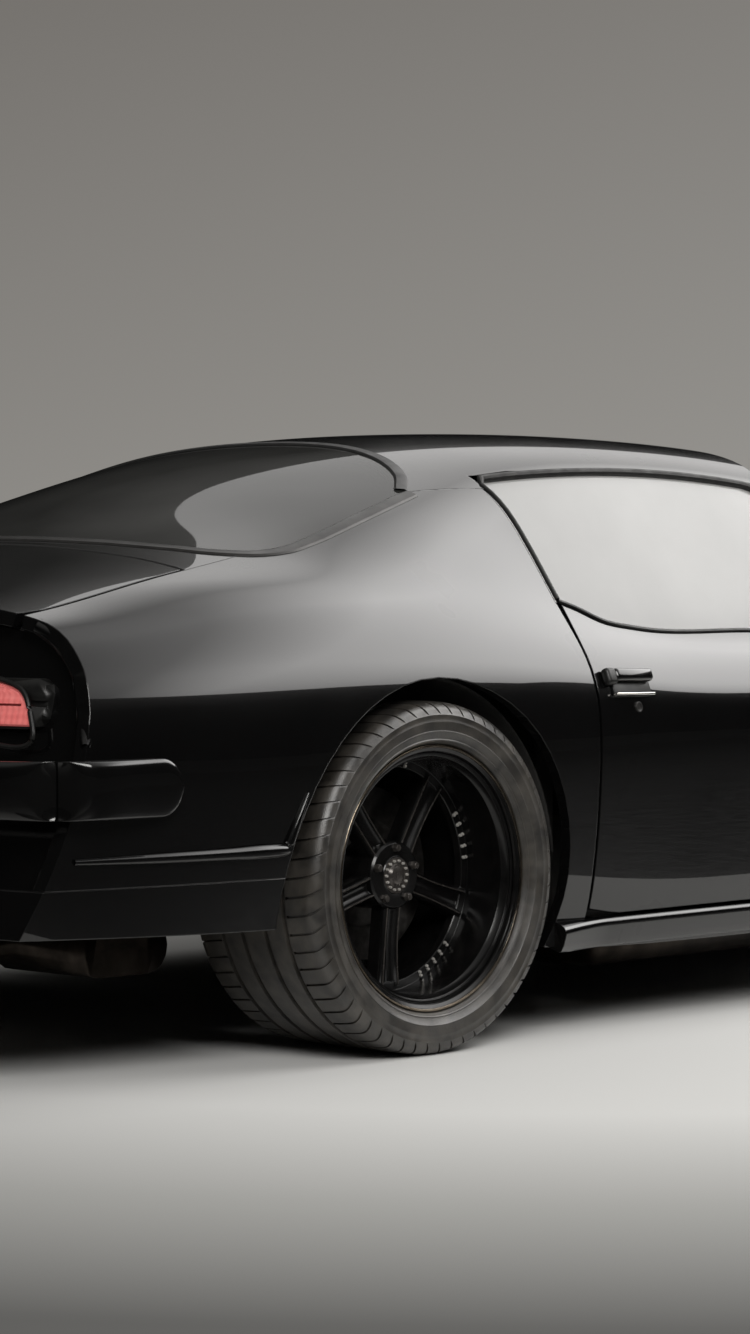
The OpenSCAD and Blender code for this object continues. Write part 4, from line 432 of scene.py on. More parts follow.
# Door glass: the pale layer covers most of it, a painted reflection of the bright light overhead; the other glass has
# less of it
DOOR_GLASS = glass_look("door_glass", (0.80, 0.82, 0.82), (0.78, 0.78, 0.775), (0.62, 0.72))
REAR_GLASS = glass_look("rear_glass", (0.55, 0.56, 0.55), (0.30, 0.30, 0.29), (0.10, 0.20))
SCREEN_GLASS = glass_look("screen_glass", (0.70, 0.73, 0.72), (0.35, 0.35, 0.35), (0.04, 0.09))
LAMP_GLASS = glass_look("lamp_glass", (0.92, 0.93, 0.93), (0.80, 0.80, 0.80), (0.05, 0.12))


# --- Pieces ---


def piece(name, mesh, material, body, replaced=()):
    """Puts a finished mesh on a CAD body, in place of the named CAD nodes."""
    obj = bpy.data.objects.new(name, mesh)
    bpy.context.scene.collection.objects.link(obj)
    mesh.materials.clear()
    mesh.materials.append(material)
    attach(obj, body)
    if replaced:
        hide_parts(*replaced)
    return obj


def mirrored(points):
    return points * FLIP


def single(name, shape, look, body="body", replaced=(), place=None, smooth=30):
    """A piece made of a shape, which place moves if one is given."""
    piece(name, shape.mesh(name, place, smooth), look, body, replaced)


def pair(label, shape, look, body="body", replaced=(), smooth=30):
    """A left-hand piece and its mirror image. Names of bodies and nodes that end in _ get the side's name."""
    for side, place in (("left", None), ("right", mirrored)):
        nodes = [node + side if node.endswith("_") else node for node in replaced]
        carrier = body + side if body.endswith("_") else body
        single(label + "_" + side, shape, look, carrier, nodes, place, smooth)


def welded(mesh, reach=1e-5):
    """A mesh opened for editing, with its doubled points merged."""
    bm = bmesh.new()
    bm.from_mesh(mesh)
    bmesh.ops.remove_doubles(bm, verts=bm.verts, dist=reach)
    return bm


def shaded(bm, mesh, angle):
    """Writes an edited mesh back and shades it smooth, except at edges sharper than an angle."""
    bm.to_mesh(mesh)
    bm.free()
    mesh.shade_smooth()
    mesh.set_sharp_from_angle(angle=math.radians(angle))
    return mesh


def points_of(mesh):
    points = np.empty(len(mesh.vertices) * 3)
    mesh.vertices.foreach_get("co", points)
    return points.reshape(-1, 3)


class Shape:
    """Gathers grids of points into one mesh."""

    def __init__(self):
        self.points = []
        self.faces = []

    def grid(self, points, around=False, across=False):
        """Quads over an (n, m, 3) array, closed along the first or the second direction if asked."""
        n, m = points.shape[:2]
        base = len(self.points)
        self.points.extend(points.reshape(-1, 3).tolist())
        for i in range(n if around else n - 1):
            a, b = base + i * m, base + (i + 1) % n * m
            for j in range(m if across else m - 1):
                k = (j + 1) % m
                self.faces.append((a + j, a + k, b + k, b + j))
        return self

    def cap(self, ring):
        """A flat face over a ring of points."""
        base = len(self.points)
        self.points.extend(np.asarray(ring).tolist())
        self.faces.append(tuple(range(base, base + len(ring))))
        return self

    def mesh(self, name, place=None, smooth=30):
        points = np.array(self.points)
        if place is not None:
            points = place(points)
        mesh = bpy.data.meshes.new(name)
        mesh.from_pydata(points.tolist(), [], self.faces)
        bm = welded(mesh, 1e-6)
        bmesh.ops.recalc_face_normals(bm, faces=bm.faces)
        return shaded(bm, mesh, smooth)


def lathe(profile, count):
    """Grid of a profile (radius, height) turned about the Z axis."""
    profile = np.array(profile)
    a = np.linspace(0, 2 * math.pi, count, endpoint=False)[:, None]
    r, h = profile[:, 0], profile[:, 1]
    return np.stack([r * np.cos(a), r * np.sin(a), np.broadcast_to(h, (count, len(h)))], axis=-1)


def resample(line, step):
    """Points at even steps on a smooth curve through the points of a line."""
    line = np.array(line, float)
    t = run_of(line)
    slope = np.gradient(line, t, axis=0)
    s = np.linspace(0, t[-1], max(3, int(t[-1] / step) + 1))
    i = np.clip(np.searchsorted(t, s, side="right") - 1, 0, len(t) - 2)
    gap = (t[i + 1] - t[i])[:, None]
    f = (s - t[i])[:, None] / gap
    return ((2 * f**3 - 3 * f**2 + 1) * line[i] + (f**3 - 2 * f**2 + f) * gap * slope[i]
            + (3 * f**2 - 2 * f**3) * line[i + 1] + (f**3 - f**2) * gap * slope[i + 1])


def tube(line, radius, count=8, closed=False):
    """Grid of a round rod along a line of points. radius may be one value per point."""
    line = np.asarray(line, float)
    ahead = np.roll(line, -1, axis=0) - np.roll(line, 1, axis=0)
    if not closed:
        ahead[0], ahead[-1] = line[1] - line[0], line[-1] - line[-2]
    ahead = unit(ahead)
    ref = np.where(np.abs(ahead[:, 2:3]) > 0.9, [[1.0, 0, 0]], [[0, 0, 1.0]])
    side = unit(np.cross(ahead, ref))
    up = np.cross(side, ahead)
    a = np.linspace(0, 2 * math.pi, count, endpoint=False)
    r = np.broadcast_to(np.asarray(radius, float), (len(line),))[:, None, None]
    ring = np.cos(a)[None, :, None] * side[:, None] + np.sin(a)[None, :, None] * up[:, None]
    return line[:, None] + ring * r


def copy_mesh(node):
    """A smooth-shaded copy of a CAD node's mesh."""
    mesh = NODES[node].data.copy()
    return shaded(welded(mesh), mesh, SHARP_ANGLE)


def smooth_panel(node, surfaces, material):
    """A finer copy of a CAD panel, laid exactly on the curved surfaces that its faces stand for."""
    bm = welded(NODES[node].data)
    bmesh.ops.triangulate(bm, faces=bm.faces)
    bm.normal_update()
    mark = bm.faces.layers.int.new("surface")
    centres = np.array([f.calc_center_median() for f in bm.faces])
    normals = np.array([f.normal for f in bm.faces])
    kind = np.full(len(centres), -1)
    for k, surface in enumerate(surfaces):
        place, normal = surface.project(centres)
        near = np.linalg.norm(place - centres, axis=1) < PANEL_NEAR
        kind[near & ((normal * normals).sum(1) > PANEL_ALIKE) & (kind < 0)] = k
    for face, k in zip(bm.faces, kind):
        face[mark] = int(k)
    for _ in range(8):
        long = [e for e in bm.edges if e.calc_length() > PANEL_EDGE and any(f[mark] >= 0 for f in e.link_faces)]
        if not long:
            break
        bmesh.ops.subdivide_edges(bm, edges=long, cuts=1)
        bmesh.ops.triangulate(bm, faces=[f for f in bm.faces if len(f.verts) > 3])
    mesh = bpy.data.meshes.new(node + "_skin")
    bm.to_mesh(mesh)
    bm.free()
    lay_on(mesh, surfaces)
    return piece(node + "_skin", mesh, material, NODES[node]["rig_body"], [node])


def lay_on(mesh, surfaces):
    """Moves the marked faces of a mesh onto their surfaces and takes the shading normals from there."""
    points = points_of(mesh)
    corners = np.empty(len(mesh.loops), dtype=np.int32)
    mesh.loops.foreach_get("vertex_index", corners)
    corners = corners.reshape(-1, 3)
    kind = np.empty(len(mesh.polygons), dtype=np.int32)
    mesh.attributes["surface"].data.foreach_get("value", kind)
    shading = np.zeros((len(corners), 3, 3))
    for k, surface in enumerate(surfaces):
        used = np.unique(corners[kind == k])
        if len(used):
            points[used] = surface.project(points[used])[0]
    flat = np.cross(points[corners[:, 1]] - points[corners[:, 0]], points[corners[:, 2]] - points[corners[:, 0]])
    flat /= np.maximum(np.linalg.norm(flat, axis=1, keepdims=True), 1e-12)
    shading[:] = flat[:, None]
    for k, surface in enumerate(surfaces):
        own = kind == k
        if own.any():
            shading[own] = surface.project(points[corners[own]].reshape(-1, 3))[1].reshape(-1, 3, 3)
    mesh.vertices.foreach_set("co", points.ravel())
    mesh.update()
    mesh.shade_smooth()
    mesh.normals_split_custom_set(shading.reshape(-1, 3).tolist())


# --- Painted shell and glass ---

for panel in ("roof", "quarters", "rockers", "door_left", "door_right"):
    smooth_panel(panel, [ROOF], PAINT)
for panel in ("rear_panels", "deck_lid"):
    smooth_panel(panel, [ROOF, tail_face(0), tail_face(0.030)], PAINT)
smooth_panel("rear_valance", [ROOF, tail_face(0)], PAINT)
smooth_panel("front_valance", [HOOD, nose_face(0.026)], PAINT)
for panel in ("fenders", "hood", "nose"):
    smooth_panel(panel, [HOOD, nose_face(0)], PAINT)
smooth_panel("cowl", [HOOD], PAINT)
smooth_panel("rear_window", [ROOF], REAR_GLASS)
piece("pillars_skin", copy_mesh("pillars"), PAINT, "body", ["pillars"])
piece("windshield_skin", copy_mesh("windshield"), SCREEN_GLASS, "body", ["windshield"])


# --- Wheels ---

LIP_R, SEAT_R, BARREL_R, HUB_R = 0.2485, 0.2285, 0.2195, 0.034
SPOKES, HUB_STUDS = 5, 14
RIVET_RINGS, RIVET_STEP = (0.2145, 0.2075), 0.105
# Wheels of an axle: x, half track and height of the hub, rim width, dish, tyre diameter and tyre width
AXLES = {
    "rear": (REAR_X, 0.752, 0.330, 0.304, 0.104, 0.660, 0.335),
    "front": (FRONT_X, 0.766, 0.325, 0.250, 0.052, 0.650, 0.275),
}


def wheel_place(x, y, z):
    """Maps a wheel drawn about the Z axis, with its outer face up, to its place on the car."""
    side = 1 if y > 0 else -1

    def place(p):
        return np.stack([x + p[:, 0], y + side * p[:, 2], z - p[:, 1]], axis=1)

    return place


def turned(points, angle):
    c, s = math.cos(angle), math.sin(angle)
    x, y = points[..., 0], points[..., 1]
    return np.stack([x * c - y * s, x * s + y * c, points[..., 2]], axis=-1)


def spoke_at(t, face):
    """Reach, half width and height of a spoke between the hub (0) and the barrel (1)."""
    half = 0.0250 + 0.006 * t**2 - 0.003 * math.sin(math.pi * t)
    top = face + 0.004 - 0.012 * t - 0.004 * math.sin(math.pi * t)
    return HUB_R + t * (BARREL_R - 0.006 - HUB_R), half, top


def spoke_grid(face):
    """Upper side and flanks of one spoke along +X: two ridges that run together at the hub."""
    across = np.array([-1, -1, -0.93, -0.80, -0.62, -0.50, -0.25, 0, 0.25, 0.50, 0.62, 0.80, 0.93, 1, 1])
    drop = np.array([34, 13, 5, 1, 0, 5, 9, 10, 9, 5, 0, 1, 5, 13, 34]) * MM
    rows = []
    for t in np.linspace(0, 1, 19):
        x, half, top = spoke_at(t, face)
        rows.append(np.stack([np.full(len(across), x), across * half, top - drop], axis=1))
    return np.array(rows)


def ridge_grids(face):
    """Lighter strips along the two ridges of one spoke: their colour is a painted glint on the ridges."""
    spine = [spoke_at(t, face + 0.0002) for t in np.linspace(0.03, 0.97, 17)]
    return [tube([(x, side * half * 0.70, top) for x, half, top in spine], 0.0016, 6) for side in (-1, 1)]


def stud(x, y, z, radius, height, sides):
    """A small domed or six-sided head standing on a face."""
    profile = [(radius, 0), (radius, height * 0.6), (radius * 0.72, height), (0.0001, height)]
    return lathe(profile, sides) + np.array([x, y, z])


def stud_at(reach, angle, *rest):
    """A stud at a distance from the wheel's axis, in a direction."""
    return stud(reach * math.cos(angle), reach * math.sin(angle), *rest)


def build_rim(corner, x, y, z, rim_w, dish):
    """Deep-dish rim in two parts, with spokes, rivets, hub, bright lip and the brake disc behind it."""
    body, node = "wheel_" + corner, "rim_" + corner
    place, h = wheel_place(x, y, z), rim_w / 2
    face = h - dish
    alloy = Shape()
    alloy.grid(lathe([(0.2440, h), (0.2430, h - 0.004), (0.2370, h - 0.007), (0.2350, h - 0.012),
                      (0.2270, h - 0.016), (0.2240, h - 0.024), (BARREL_R, h - 0.030), (BARREL_R, -h + 0.02),
                      (0.2445, -h), (LIP_R, -h), (LIP_R, -h + 0.008), (SEAT_R, -h + 0.014), (SEAT_R, h - 0.014),
                      (LIP_R - 0.001, h - 0.008), (LIP_R - 0.001, h - 0.001)], 144), around=True, across=True)
    alloy.grid(lathe([(BARREL_R + 0.001, face - 0.012), (0.2040, face - 0.012), (0.2025, face - 0.014),
                      (0.2025, face - 0.030), (BARREL_R + 0.001, face - 0.030)], 120), around=True)
    alloy.grid(lathe([(0.034, face + 0.008), (0.036, face + 0.006), (0.044, face + 0.005), (0.060, face + 0.005),
                      (0.0645, face + 0.001), (0.066, face - 0.008), (0.066, face - 0.098), (0.032, face - 0.098),
                      (0.032, face - 0.010)], 72), around=True)
    bright, ridges = Shape(), Shape()
    for i in range(SPOKES):
        angle = math.pi / 2 + 2 * math.pi * i / SPOKES
        alloy.grid(turned(spoke_grid(face), angle))
        for grid in ridge_grids(face):
            ridges.grid(turned(grid, angle), across=True)
        for k in range(-2, 3):
            for r in RIVET_RINGS:
                a = angle + math.pi / SPOKES + k * RIVET_STEP
                bright.grid(stud_at(r, a, face - 0.012, 0.0034, 0.004, 8), around=True)
    for k in range(HUB_STUDS):
        bright.grid(stud_at(0.0275, 2 * math.pi * k / HUB_STUDS, face + 0.008, 0.0030, 0.004, 6), around=True)
    for k in range(SPOKES):
        a = math.pi / 2 + 2 * math.pi * (k + 0.5) / SPOKES
        ridges.grid(stud_at(0.052, a, face + 0.003, 0.0085, 0.012, 6), around=True)
    ridges.grid(lathe([(0.0001, face + 0.0150), (0.010, face + 0.0145), (0.0165, face + 0.0125),
                       (0.019, face + 0.0095), (0.0215, face + 0.0075), (HUB_R, face + 0.0085), (HUB_R, face)], 48),
                around=True)
    lip = Shape().grid(lathe([(LIP_R, h - 0.0075), (LIP_R, h - 0.001), (LIP_R - 0.001, h), (0.2450, h),
                              (0.2435, h - 0.001), (0.2432, h - 0.0035)], 144), around=True)
    disc = Shape().grid(lathe([(0.060, face - 0.104), (0.165, face - 0.104), (0.165, face - 0.095),
                               (0.160, face - 0.095), (0.160, face - 0.085), (0.165, face - 0.085),
                               (0.165, face - 0.076), (0.105, face - 0.076), (0.100, face - 0.080),
                               (0.060, face - 0.080)], 96), around=True, across=True)
    single(node + "_alloy", alloy, ALLOY, body, [node], place)
    for part, shape, look in (("_ridges", ridges, RIDGE), ("_studs", bright, STUDS), ("_lip", lip, BRONZE),
                              ("_disc", disc, DISC)):
        single(node + part, shape, look, body, place=place)


def tyre_line(diameter, width, rim_w):
    """Outer half of a tyre section. Columns: radius, half width, how deep a shoulder cut goes there."""
    r, h, low = diameter / 2, rim_w / 2, LIP_R + 0.0005
    rise, swell = r - low, width / 2 - h
    wall = [(0.00, -0.50), (0.03, 0.02), (0.06, 0.20), (0.085, 0.44), (0.11, 0.52), (0.135, 0.44), (0.16, 0.50),
            (0.28, 0.78), (0.295, 0.86), (0.31, 0.86), (0.325, 0.82), (0.45, 0.95), (0.50, 0.985), (0.515, 1.0),
            (0.54, 1.0), (0.555, 0.96), (0.66, 0.955), (0.675, 0.985), (0.69, 0.985), (0.705, 0.93)]
    line = [(0.2300, h - 0.0150, 0)] + [(low + a * rise, h + b * swell, 0) for a, b in wall]
    shoulder = [(0.80, 0.80), (0.86, 0.58), (0.91, 0.30), (0.945, 0.0), (0.968, -0.35), (0.983, -0.80)]
    line += [(low + a * rise, h + b * swell, 0.0035) for a, b in shoulder]
    edge = h - 1.5 * swell
    line += [(r - 0.0008, edge, 0.0045), (r - 0.0004, edge * 0.83, 0.0045), (r - 0.0002, edge * 0.70, 0.0045)]
    for at in (0.66, 0.24):
        middle = edge * at
        line += [(r - 0.0002, middle + 0.0065, 0), (r - 0.0070, middle + 0.0050, 0), (r - 0.0070, middle - 0.0050, 0),
                 (r - 0.0001, middle - 0.0065, 0)]
    return np.array(line + [(r, 0.0, 0)])


def build_tyre(corner, x, y, z, diameter, width, rim_w):
    """Tyre with rings on its wall, grooves round the tread and slanted cuts across the shoulders."""
    node = "tyre_" + corner
    half = tyre_line(diameter, width, rim_w)
    other = half[-2::-1] * (1, -1, 1)
    line = np.concatenate([half, other])
    ahead = np.gradient(line[:, :2], axis=0)
    inward = np.stack([-ahead[:, 1], ahead[:, 0]], axis=1)
    inward *= np.sign((inward * (np.array([0.285, 0.0]) - line[:, :2])).sum(1))[:, None]
    inward = unit(inward)
    cuts, columns = 60, []
    pitch = 2 * math.pi / cuts
    slant = np.clip((diameter / 2 - line[:, 0]) / 0.03, 0, 1) * 0.5 + np.abs(line[:, 1]) / width
    for k in range(cuts):
        for f, deep in ((0.0, 0), (0.02, 1), (0.13, 1), (0.15, 0), (0.575, 0)):
            angle = (k + f) * pitch + slant * pitch * 1.1 * np.sign(line[:, 1])
            at = line[:, :2] + inward * (line[:, 2] * deep)[:, None]
            columns.append(np.stack([at[:, 0] * np.cos(angle), at[:, 0] * np.sin(angle), at[:, 1]], axis=1))
    tyre = Shape().grid(np.array(columns), around=True)
    mesh = tyre.mesh(node, wheel_place(x, y, z), smooth=28)
    piece(node + "_rubber", mesh, TYRE, "wheel_" + corner, [node])


for side, sign in (("left", 1), ("right", -1)):
    for axle, (x, y, z, rim_w, dish, diameter, width) in AXLES.items():
        build_rim(axle + "_" + side, x, sign * y, z, rim_w, dish)
        build_tyre(axle + "_" + side, x, sign * y, z, diameter, width, rim_w)


# --- Rear bumper and lamps ---

# Bumper bar from its end by the wheel arch to the middle. Columns: behind the rear axle, half width, half thickness.
BUMPER_LINE = [[640, 899, 10], [740, 893, 14], [825, 884, 19], [900, 836, 24], [946, 690, 25], [967, 400, 25],
               [975, 0, 25]]
BUMPER_Z, BUMPER_HALF_H = 0.526, 0.051


def squarish(wave, power):
    """A sine or cosine bent towards a square wave, for rings with rounded corners."""
    return np.sign(wave) * np.abs(wave) ** power


def bumper_grid():
    """Bar with softly rounded faces, drawn in towards its ends."""
    table = fair(np.array(BUMPER_LINE, float) * MM)
    net = np.concatenate([2 * table[:1] - table[1:2], table, table[-2:-1] * FLIP])
    t = np.linspace(0, len(table) - 1, 90)
    i = np.clip(np.floor(t).astype(int), 0, len(net) - 4)
    line = np.einsum("nk,nkc->nc", blend(t - i), net[i[:, None] + np.arange(4)])
    line = np.concatenate([line, line[-2::-1] * FLIP])
    ahead = np.gradient(line[:, :2], axis=0)
    out = unit(np.stack([ahead[:, 1], -ahead[:, 0]], axis=1))
    out[:, 0] = np.abs(out[:, 0])
    run = run_of(line[:, :2])
    end = np.clip(np.minimum(run, run[-1] - run) / 0.045, 0, 1)
    taper = np.sqrt(np.maximum(1 - (1 - end) ** 2, 0.0004))
    a = np.linspace(0, 2 * math.pi, 36, endpoint=False)
    spread = line[:, 2:3] * squarish(np.cos(a), 0.55)
    x = REAR_X - line[:, :1] - out[:, :1] * spread
    y = line[:, 1:2] + out[:, 1:2] * spread
    z = BUMPER_Z + taper[:, None] * squarish(np.sin(a), 0.40) * BUMPER_HALF_H
    return np.stack([x, y, z], axis=-1)


bar = Shape().grid(bumper_grid(), across=True)
single("bumper_bar", bar, PAINT, replaced=["rear_bumper"], smooth=40)


def tail_point(y, z, shift):
    """Points on the tail face at given half widths and heights."""
    y, z = np.asarray(y, float), np.asarray(z, float)
    guess = np.stack([np.full(y.size, TAIL_X + shift), y.ravel(), z.ravel()], axis=1)
    for _ in range(4):
        found = tail_face(shift).project(guess)[0]
        guess = np.stack([found[:, 0], y.ravel(), z.ravel()], axis=1)
    return guess.reshape(y.shape + (3,))


# Outer end of the tail lens. Columns: height, half width.
LENS_END = np.array([[0.631, 0.724], [0.648, 0.716], [0.664, 0.708], [0.678, 0.699], [0.690, 0.686], [0.700, 0.661],
                     [0.706, 0.635], [0.709, 0.590]])
LENS_INNER, LENS_LOW, LENS_HIGH, LENS_BAR_Z = 0.262, 0.631, 0.709, 0.6685


def lens_end(z):
    return np.interp(z, LENS_END[:, 0], LENS_END[:, 1])


def lamp_lens():
    """Ribbed red lens with a round outer corner."""
    tt, zz = np.meshgrid(np.linspace(0, 1, 158), np.linspace(LENS_LOW, LENS_HIGH, 25), indexing="ij")
    end = lens_end(zz)
    yy = LENS_INNER + (end - LENS_INNER) * tt
    ribs = 0.0014 * np.abs(np.sin(yy * math.pi / 0.013)) + 0.0010 * np.abs(np.sin((zz - LENS_LOW) * math.pi / 0.013))
    edge = np.minimum(np.minimum(yy - LENS_INNER, end - yy), np.minimum(zz - LENS_LOW, LENS_HIGH - zz))
    lens = tail_point(yy, zz, 0.0065)
    lens[..., 0] -= ribs * np.clip(edge / 0.004, 0, 1) - 0.004 * (1 - np.clip(edge / 0.003, 0, 1))
    return Shape().grid(lens)


def lamp_bar():
    """Thin dark red bar across the lens: its dark colour is painted shade of a groove across the lens."""
    y = np.linspace(LENS_INNER, lens_end(LENS_BAR_Z) - 0.008, 60)
    return Shape().grid(tube(tail_point(y, np.full(60, LENS_BAR_Z), 0.0042), 0.0020, 8), across=True)


def lamp_bezel():
    """Dark frame round the lens."""
    outline = np.concatenate([[(LENS_INNER, LENS_LOW), (0.5, LENS_LOW)], LENS_END[:, ::-1], [(0.45, LENS_HIGH)],
                              [(LENS_INNER, LENS_HIGH), (LENS_INNER, LENS_LOW)]])
    middle = np.array([0.492, 0.670])
    ring = resample(middle + (outline - middle) * (1.034, 1.18), 0.008)[:-1]
    frame_line = tail_point(ring[:, 0], ring[:, 1], 0.004)
    return Shape().grid(tube(frame_line, 0.005, 8, closed=True), around=True, across=True)


pair("tail_lens", lamp_lens(), RED_LENS)
pair("tail_bar", lamp_bar(), LENS_BAR)
pair("tail_bezel", lamp_bezel(), BLACK_TRIM)
piece("tail_lamp_bowl", copy_mesh("tail_lamps"), BLACK_TRIM, "body", ["tail_lamps"])


# --- Glass mouldings, seals and door hardware ---

# Back glass seen from above, from its top middle to its base middle. Columns: ahead of the rear axle, half width.
BACK_GLASS = np.array([[452, 0], [446, 150], [425, 300], [385, 430], [340, 510], [286, 562], [180, 582], [60, 603],
                       [-60, 622], [-130, 628], [-190, 612], [-232, 570], [-262, 480], [-284, 300], [-296, 0]]) * MM
TIP = 5


def ribbon(line, profile):
    """Strip on the roof surface along a plan line. Profile columns: distance to the line's left, height."""
    ahead = np.gradient(line, axis=0)
    left = unit(np.stack([-ahead[:, 1], ahead[:, 0]], axis=1))
    rows = []
    for offset, height in profile:
        at = line + left * offset
        place, normal = ROOF.above(at[:, 0], at[:, 1])
        rows.append(place + normal * height)
    return np.stack(rows, axis=1)


def glass_trim():
    """Mouldings round the back glass: along the roof, and down the sides and along the deck."""
    plan = BACK_GLASS + np.array([REAR_X, 0])
    top = resample(np.concatenate([plan[TIP:0:-1] * (1, -1), plan[: TIP + 1]]), 0.012)
    side = resample(plan[TIP:], 0.010)
    base = np.concatenate([side, side[-2::-1] * (1, -1)])
    top_section = [(-0.002, -0.004), (-0.002, 0.003), (0.004, 0.0055), (0.020, 0.0045), (0.024, 0.001),
                   (0.024, -0.004)]
    base_section = [(0.002, -0.004), (0.002, 0.002), (-0.006, 0.0045), (-0.024, 0.0035), (-0.028, 0.0005),
                    (-0.028, -0.004)]
    single("glass_top_moulding", Shape().grid(ribbon(top, top_section)), BLACK_TRIM)
    single("glass_base_moulding", Shape().grid(ribbon(base, base_section)), GREY_TRIM)


glass_trim()

# Upper and lower edge of the side window. Columns: ahead of the rear axle, height.
ROOF_EDGE = np.array([[380, 1080], [560, 1100], [760, 1111], [1120, 1104], [1300, 1088], [1500, 1060]]) * MM
BELT_Z, BELT_HALF_W = 0.730, 0.796
BELT = np.array([[462, 842], [510, 828], [580, 802], [680, 787], [1050, 778], [1500, 778], [1852, 790]]) * MM


def cabin_side(x, z):
    """Side of the cabin between belt and roof edge: half width at places of the side view."""
    fine = resample(ROOF_EDGE, 0.02)
    top = np.interp(x - REAR_X, fine[:, 0], fine[:, 1])
    t = (z - BELT_Z) / (top - BELT_Z)
    edge = ROOF.beside(x, top, 5.0, 9.0)[0][:, 1]
    return BELT_HALF_W + (edge - BELT_HALF_W) * t + 0.048 * t * (1 - t)


class CabinSide:
    """The outer surface of the door glass, on either side of the car."""

    def project(self, points):
        def at(dx, dz):
            return cabin_side(points[:, 0] + dx, points[:, 2] + dz)

        slope_x, slope_z = (at(0.02, 0) - at(-0.02, 0)) / 0.04, (at(0, 0.01) - at(0, -0.01)) / 0.02
        normal = unit(np.stack([-slope_x, np.ones_like(slope_x), -slope_z], axis=1))
        mirror = side_of(points[:, 1])
        return np.stack([points[:, 0], at(0, 0), points[:, 2]], axis=1) * mirror, normal * mirror


for side in ("left", "right"):
    smooth_panel("door_glass_" + side, [CabinSide()], DOOR_GLASS)


def beside_glass(line):
    """Places just outside both the door glass and the skin, for a line of the side view."""
    skin = ROOF.beside(line[:, 0] - 0.004, line[:, 1], 4.0, 9.0)[0][:, 1]
    return np.stack([line[:, 0], np.maximum(cabin_side(line[:, 0], line[:, 1]), skin) + 0.001, line[:, 1]], axis=1)


def window_seal():
    """Rubber round the side window: along its rear edge, under the roof and down the windshield pillar."""
    foot, top = np.array([0.387, 0.785]), np.array([-0.098, 1.085])
    edge = resample(ROOF_EDGE, 0.02)
    edge = edge[(edge[:, 0] > 0.476) & (edge[:, 0] < 1.270)] + np.array([REAR_X, -0.006])
    rear = np.stack([np.full(14, DOOR_REAR_X + 0.002), np.linspace(0.846, edge[0, 1] - 0.012, 14)], axis=1)
    front = top + (foot - top) * np.linspace(0.03, 1, 24)[:, None]
    radius = np.concatenate([np.full(14, 0.0050), np.full(len(edge), 0.0085), np.full(24, 0.0090)])
    return beside_glass(np.concatenate([rear, edge, front])), radius


def belt_strip():
    """Thin strip along the door's top edge, under the glass."""
    line = resample(BELT, 0.02) + np.array([REAR_X, 0.001])
    return beside_glass(line[line[:, 0] < 0.39])


HANDLE_X, HANDLE_Z = DOOR_REAR_X + 0.090, 0.686


def rounded_box(size, radius):
    """Box about the origin with rounded edges."""
    steps = 5
    a = np.linspace(0, 2 * math.pi, 8 * steps, endpoint=False)
    b = np.linspace(-math.pi / 2, math.pi / 2, 4 * steps + 1)
    core = np.maximum(np.array(size) / 2 - radius, 0)
    bb, aa = np.meshgrid(b, a)
    unit = np.stack([np.cos(bb) * np.cos(aa), np.cos(bb) * np.sin(aa), np.sin(bb)], axis=-1)
    snap = np.where(np.abs(unit) < 1e-9, 0, np.sign(unit))
    return unit * radius + snap * core


def on_door(points, x, z):
    """Places a piece drawn about the origin (X along the door, Y out, Z up) on the left door's skin."""
    place, normal = ROOF.beside(np.array([x]), np.array([z]))
    n = normal[0]
    along_x = unit(np.array([1.0, 0, 0]) - n * n[0])
    return points @ np.stack([along_x, n, np.cross(along_x, n)]) + place[0]


def door_block(size, radius, shift, x, z):
    """A rounded block on the left door, moved from a place on the door's skin."""
    return on_door(rounded_box(size, radius) + shift, x, z)


def door_hardware():
    """Handle with its dish and lock, and the seals of each door."""
    blocks = [
        ("handle_flap", (0.118, 0.020, 0.027), 0.0095, (0.014, 0.012, 0.008), PAINT),
        ("handle_root", (0.030, 0.022, 0.034), 0.0085, (-0.058, 0.010, 0.005), BLACK_TRIM),
        ("handle_dish", (0.120, 0.008, 0.034), 0.0035, (0.012, 0.001, -0.012), BLACK_TRIM),
        ("handle_lip", (0.124, 0.012, 0.006), 0.0028, (0.014, 0.005, -0.030), BRIGHT),
    ]
    for part, size, radius, shift, look in blocks:
        shape = Shape().grid(door_block(size, radius, shift, HANDLE_X, HANDLE_Z), around=True)
        pair(part, shape, look, "door_", replaced=["door_trim_"] if part == "handle_flap" else ())
    ring = lathe([(0.0105, 0), (0.0105, 0.0025), (0.009, 0.0035), (0.0065, 0.0030), (0.006, 0.0015),
                  (0.0001, 0.0015)], 32)
    lock = on_door(ring[..., [0, 2, 1]], HANDLE_X + 0.028, HANDLE_Z - 0.052)
    pair("key_lock", Shape().grid(lock, around=True), GREY_TRIM, "door_")
    pair("window_seal", Shape().grid(tube(*window_seal(), 10), across=True), RUBBER, "door_")
    pair("belt_strip", Shape().grid(tube(belt_strip(), 0.0045, 8), across=True), BLACK_TRIM, "door_")


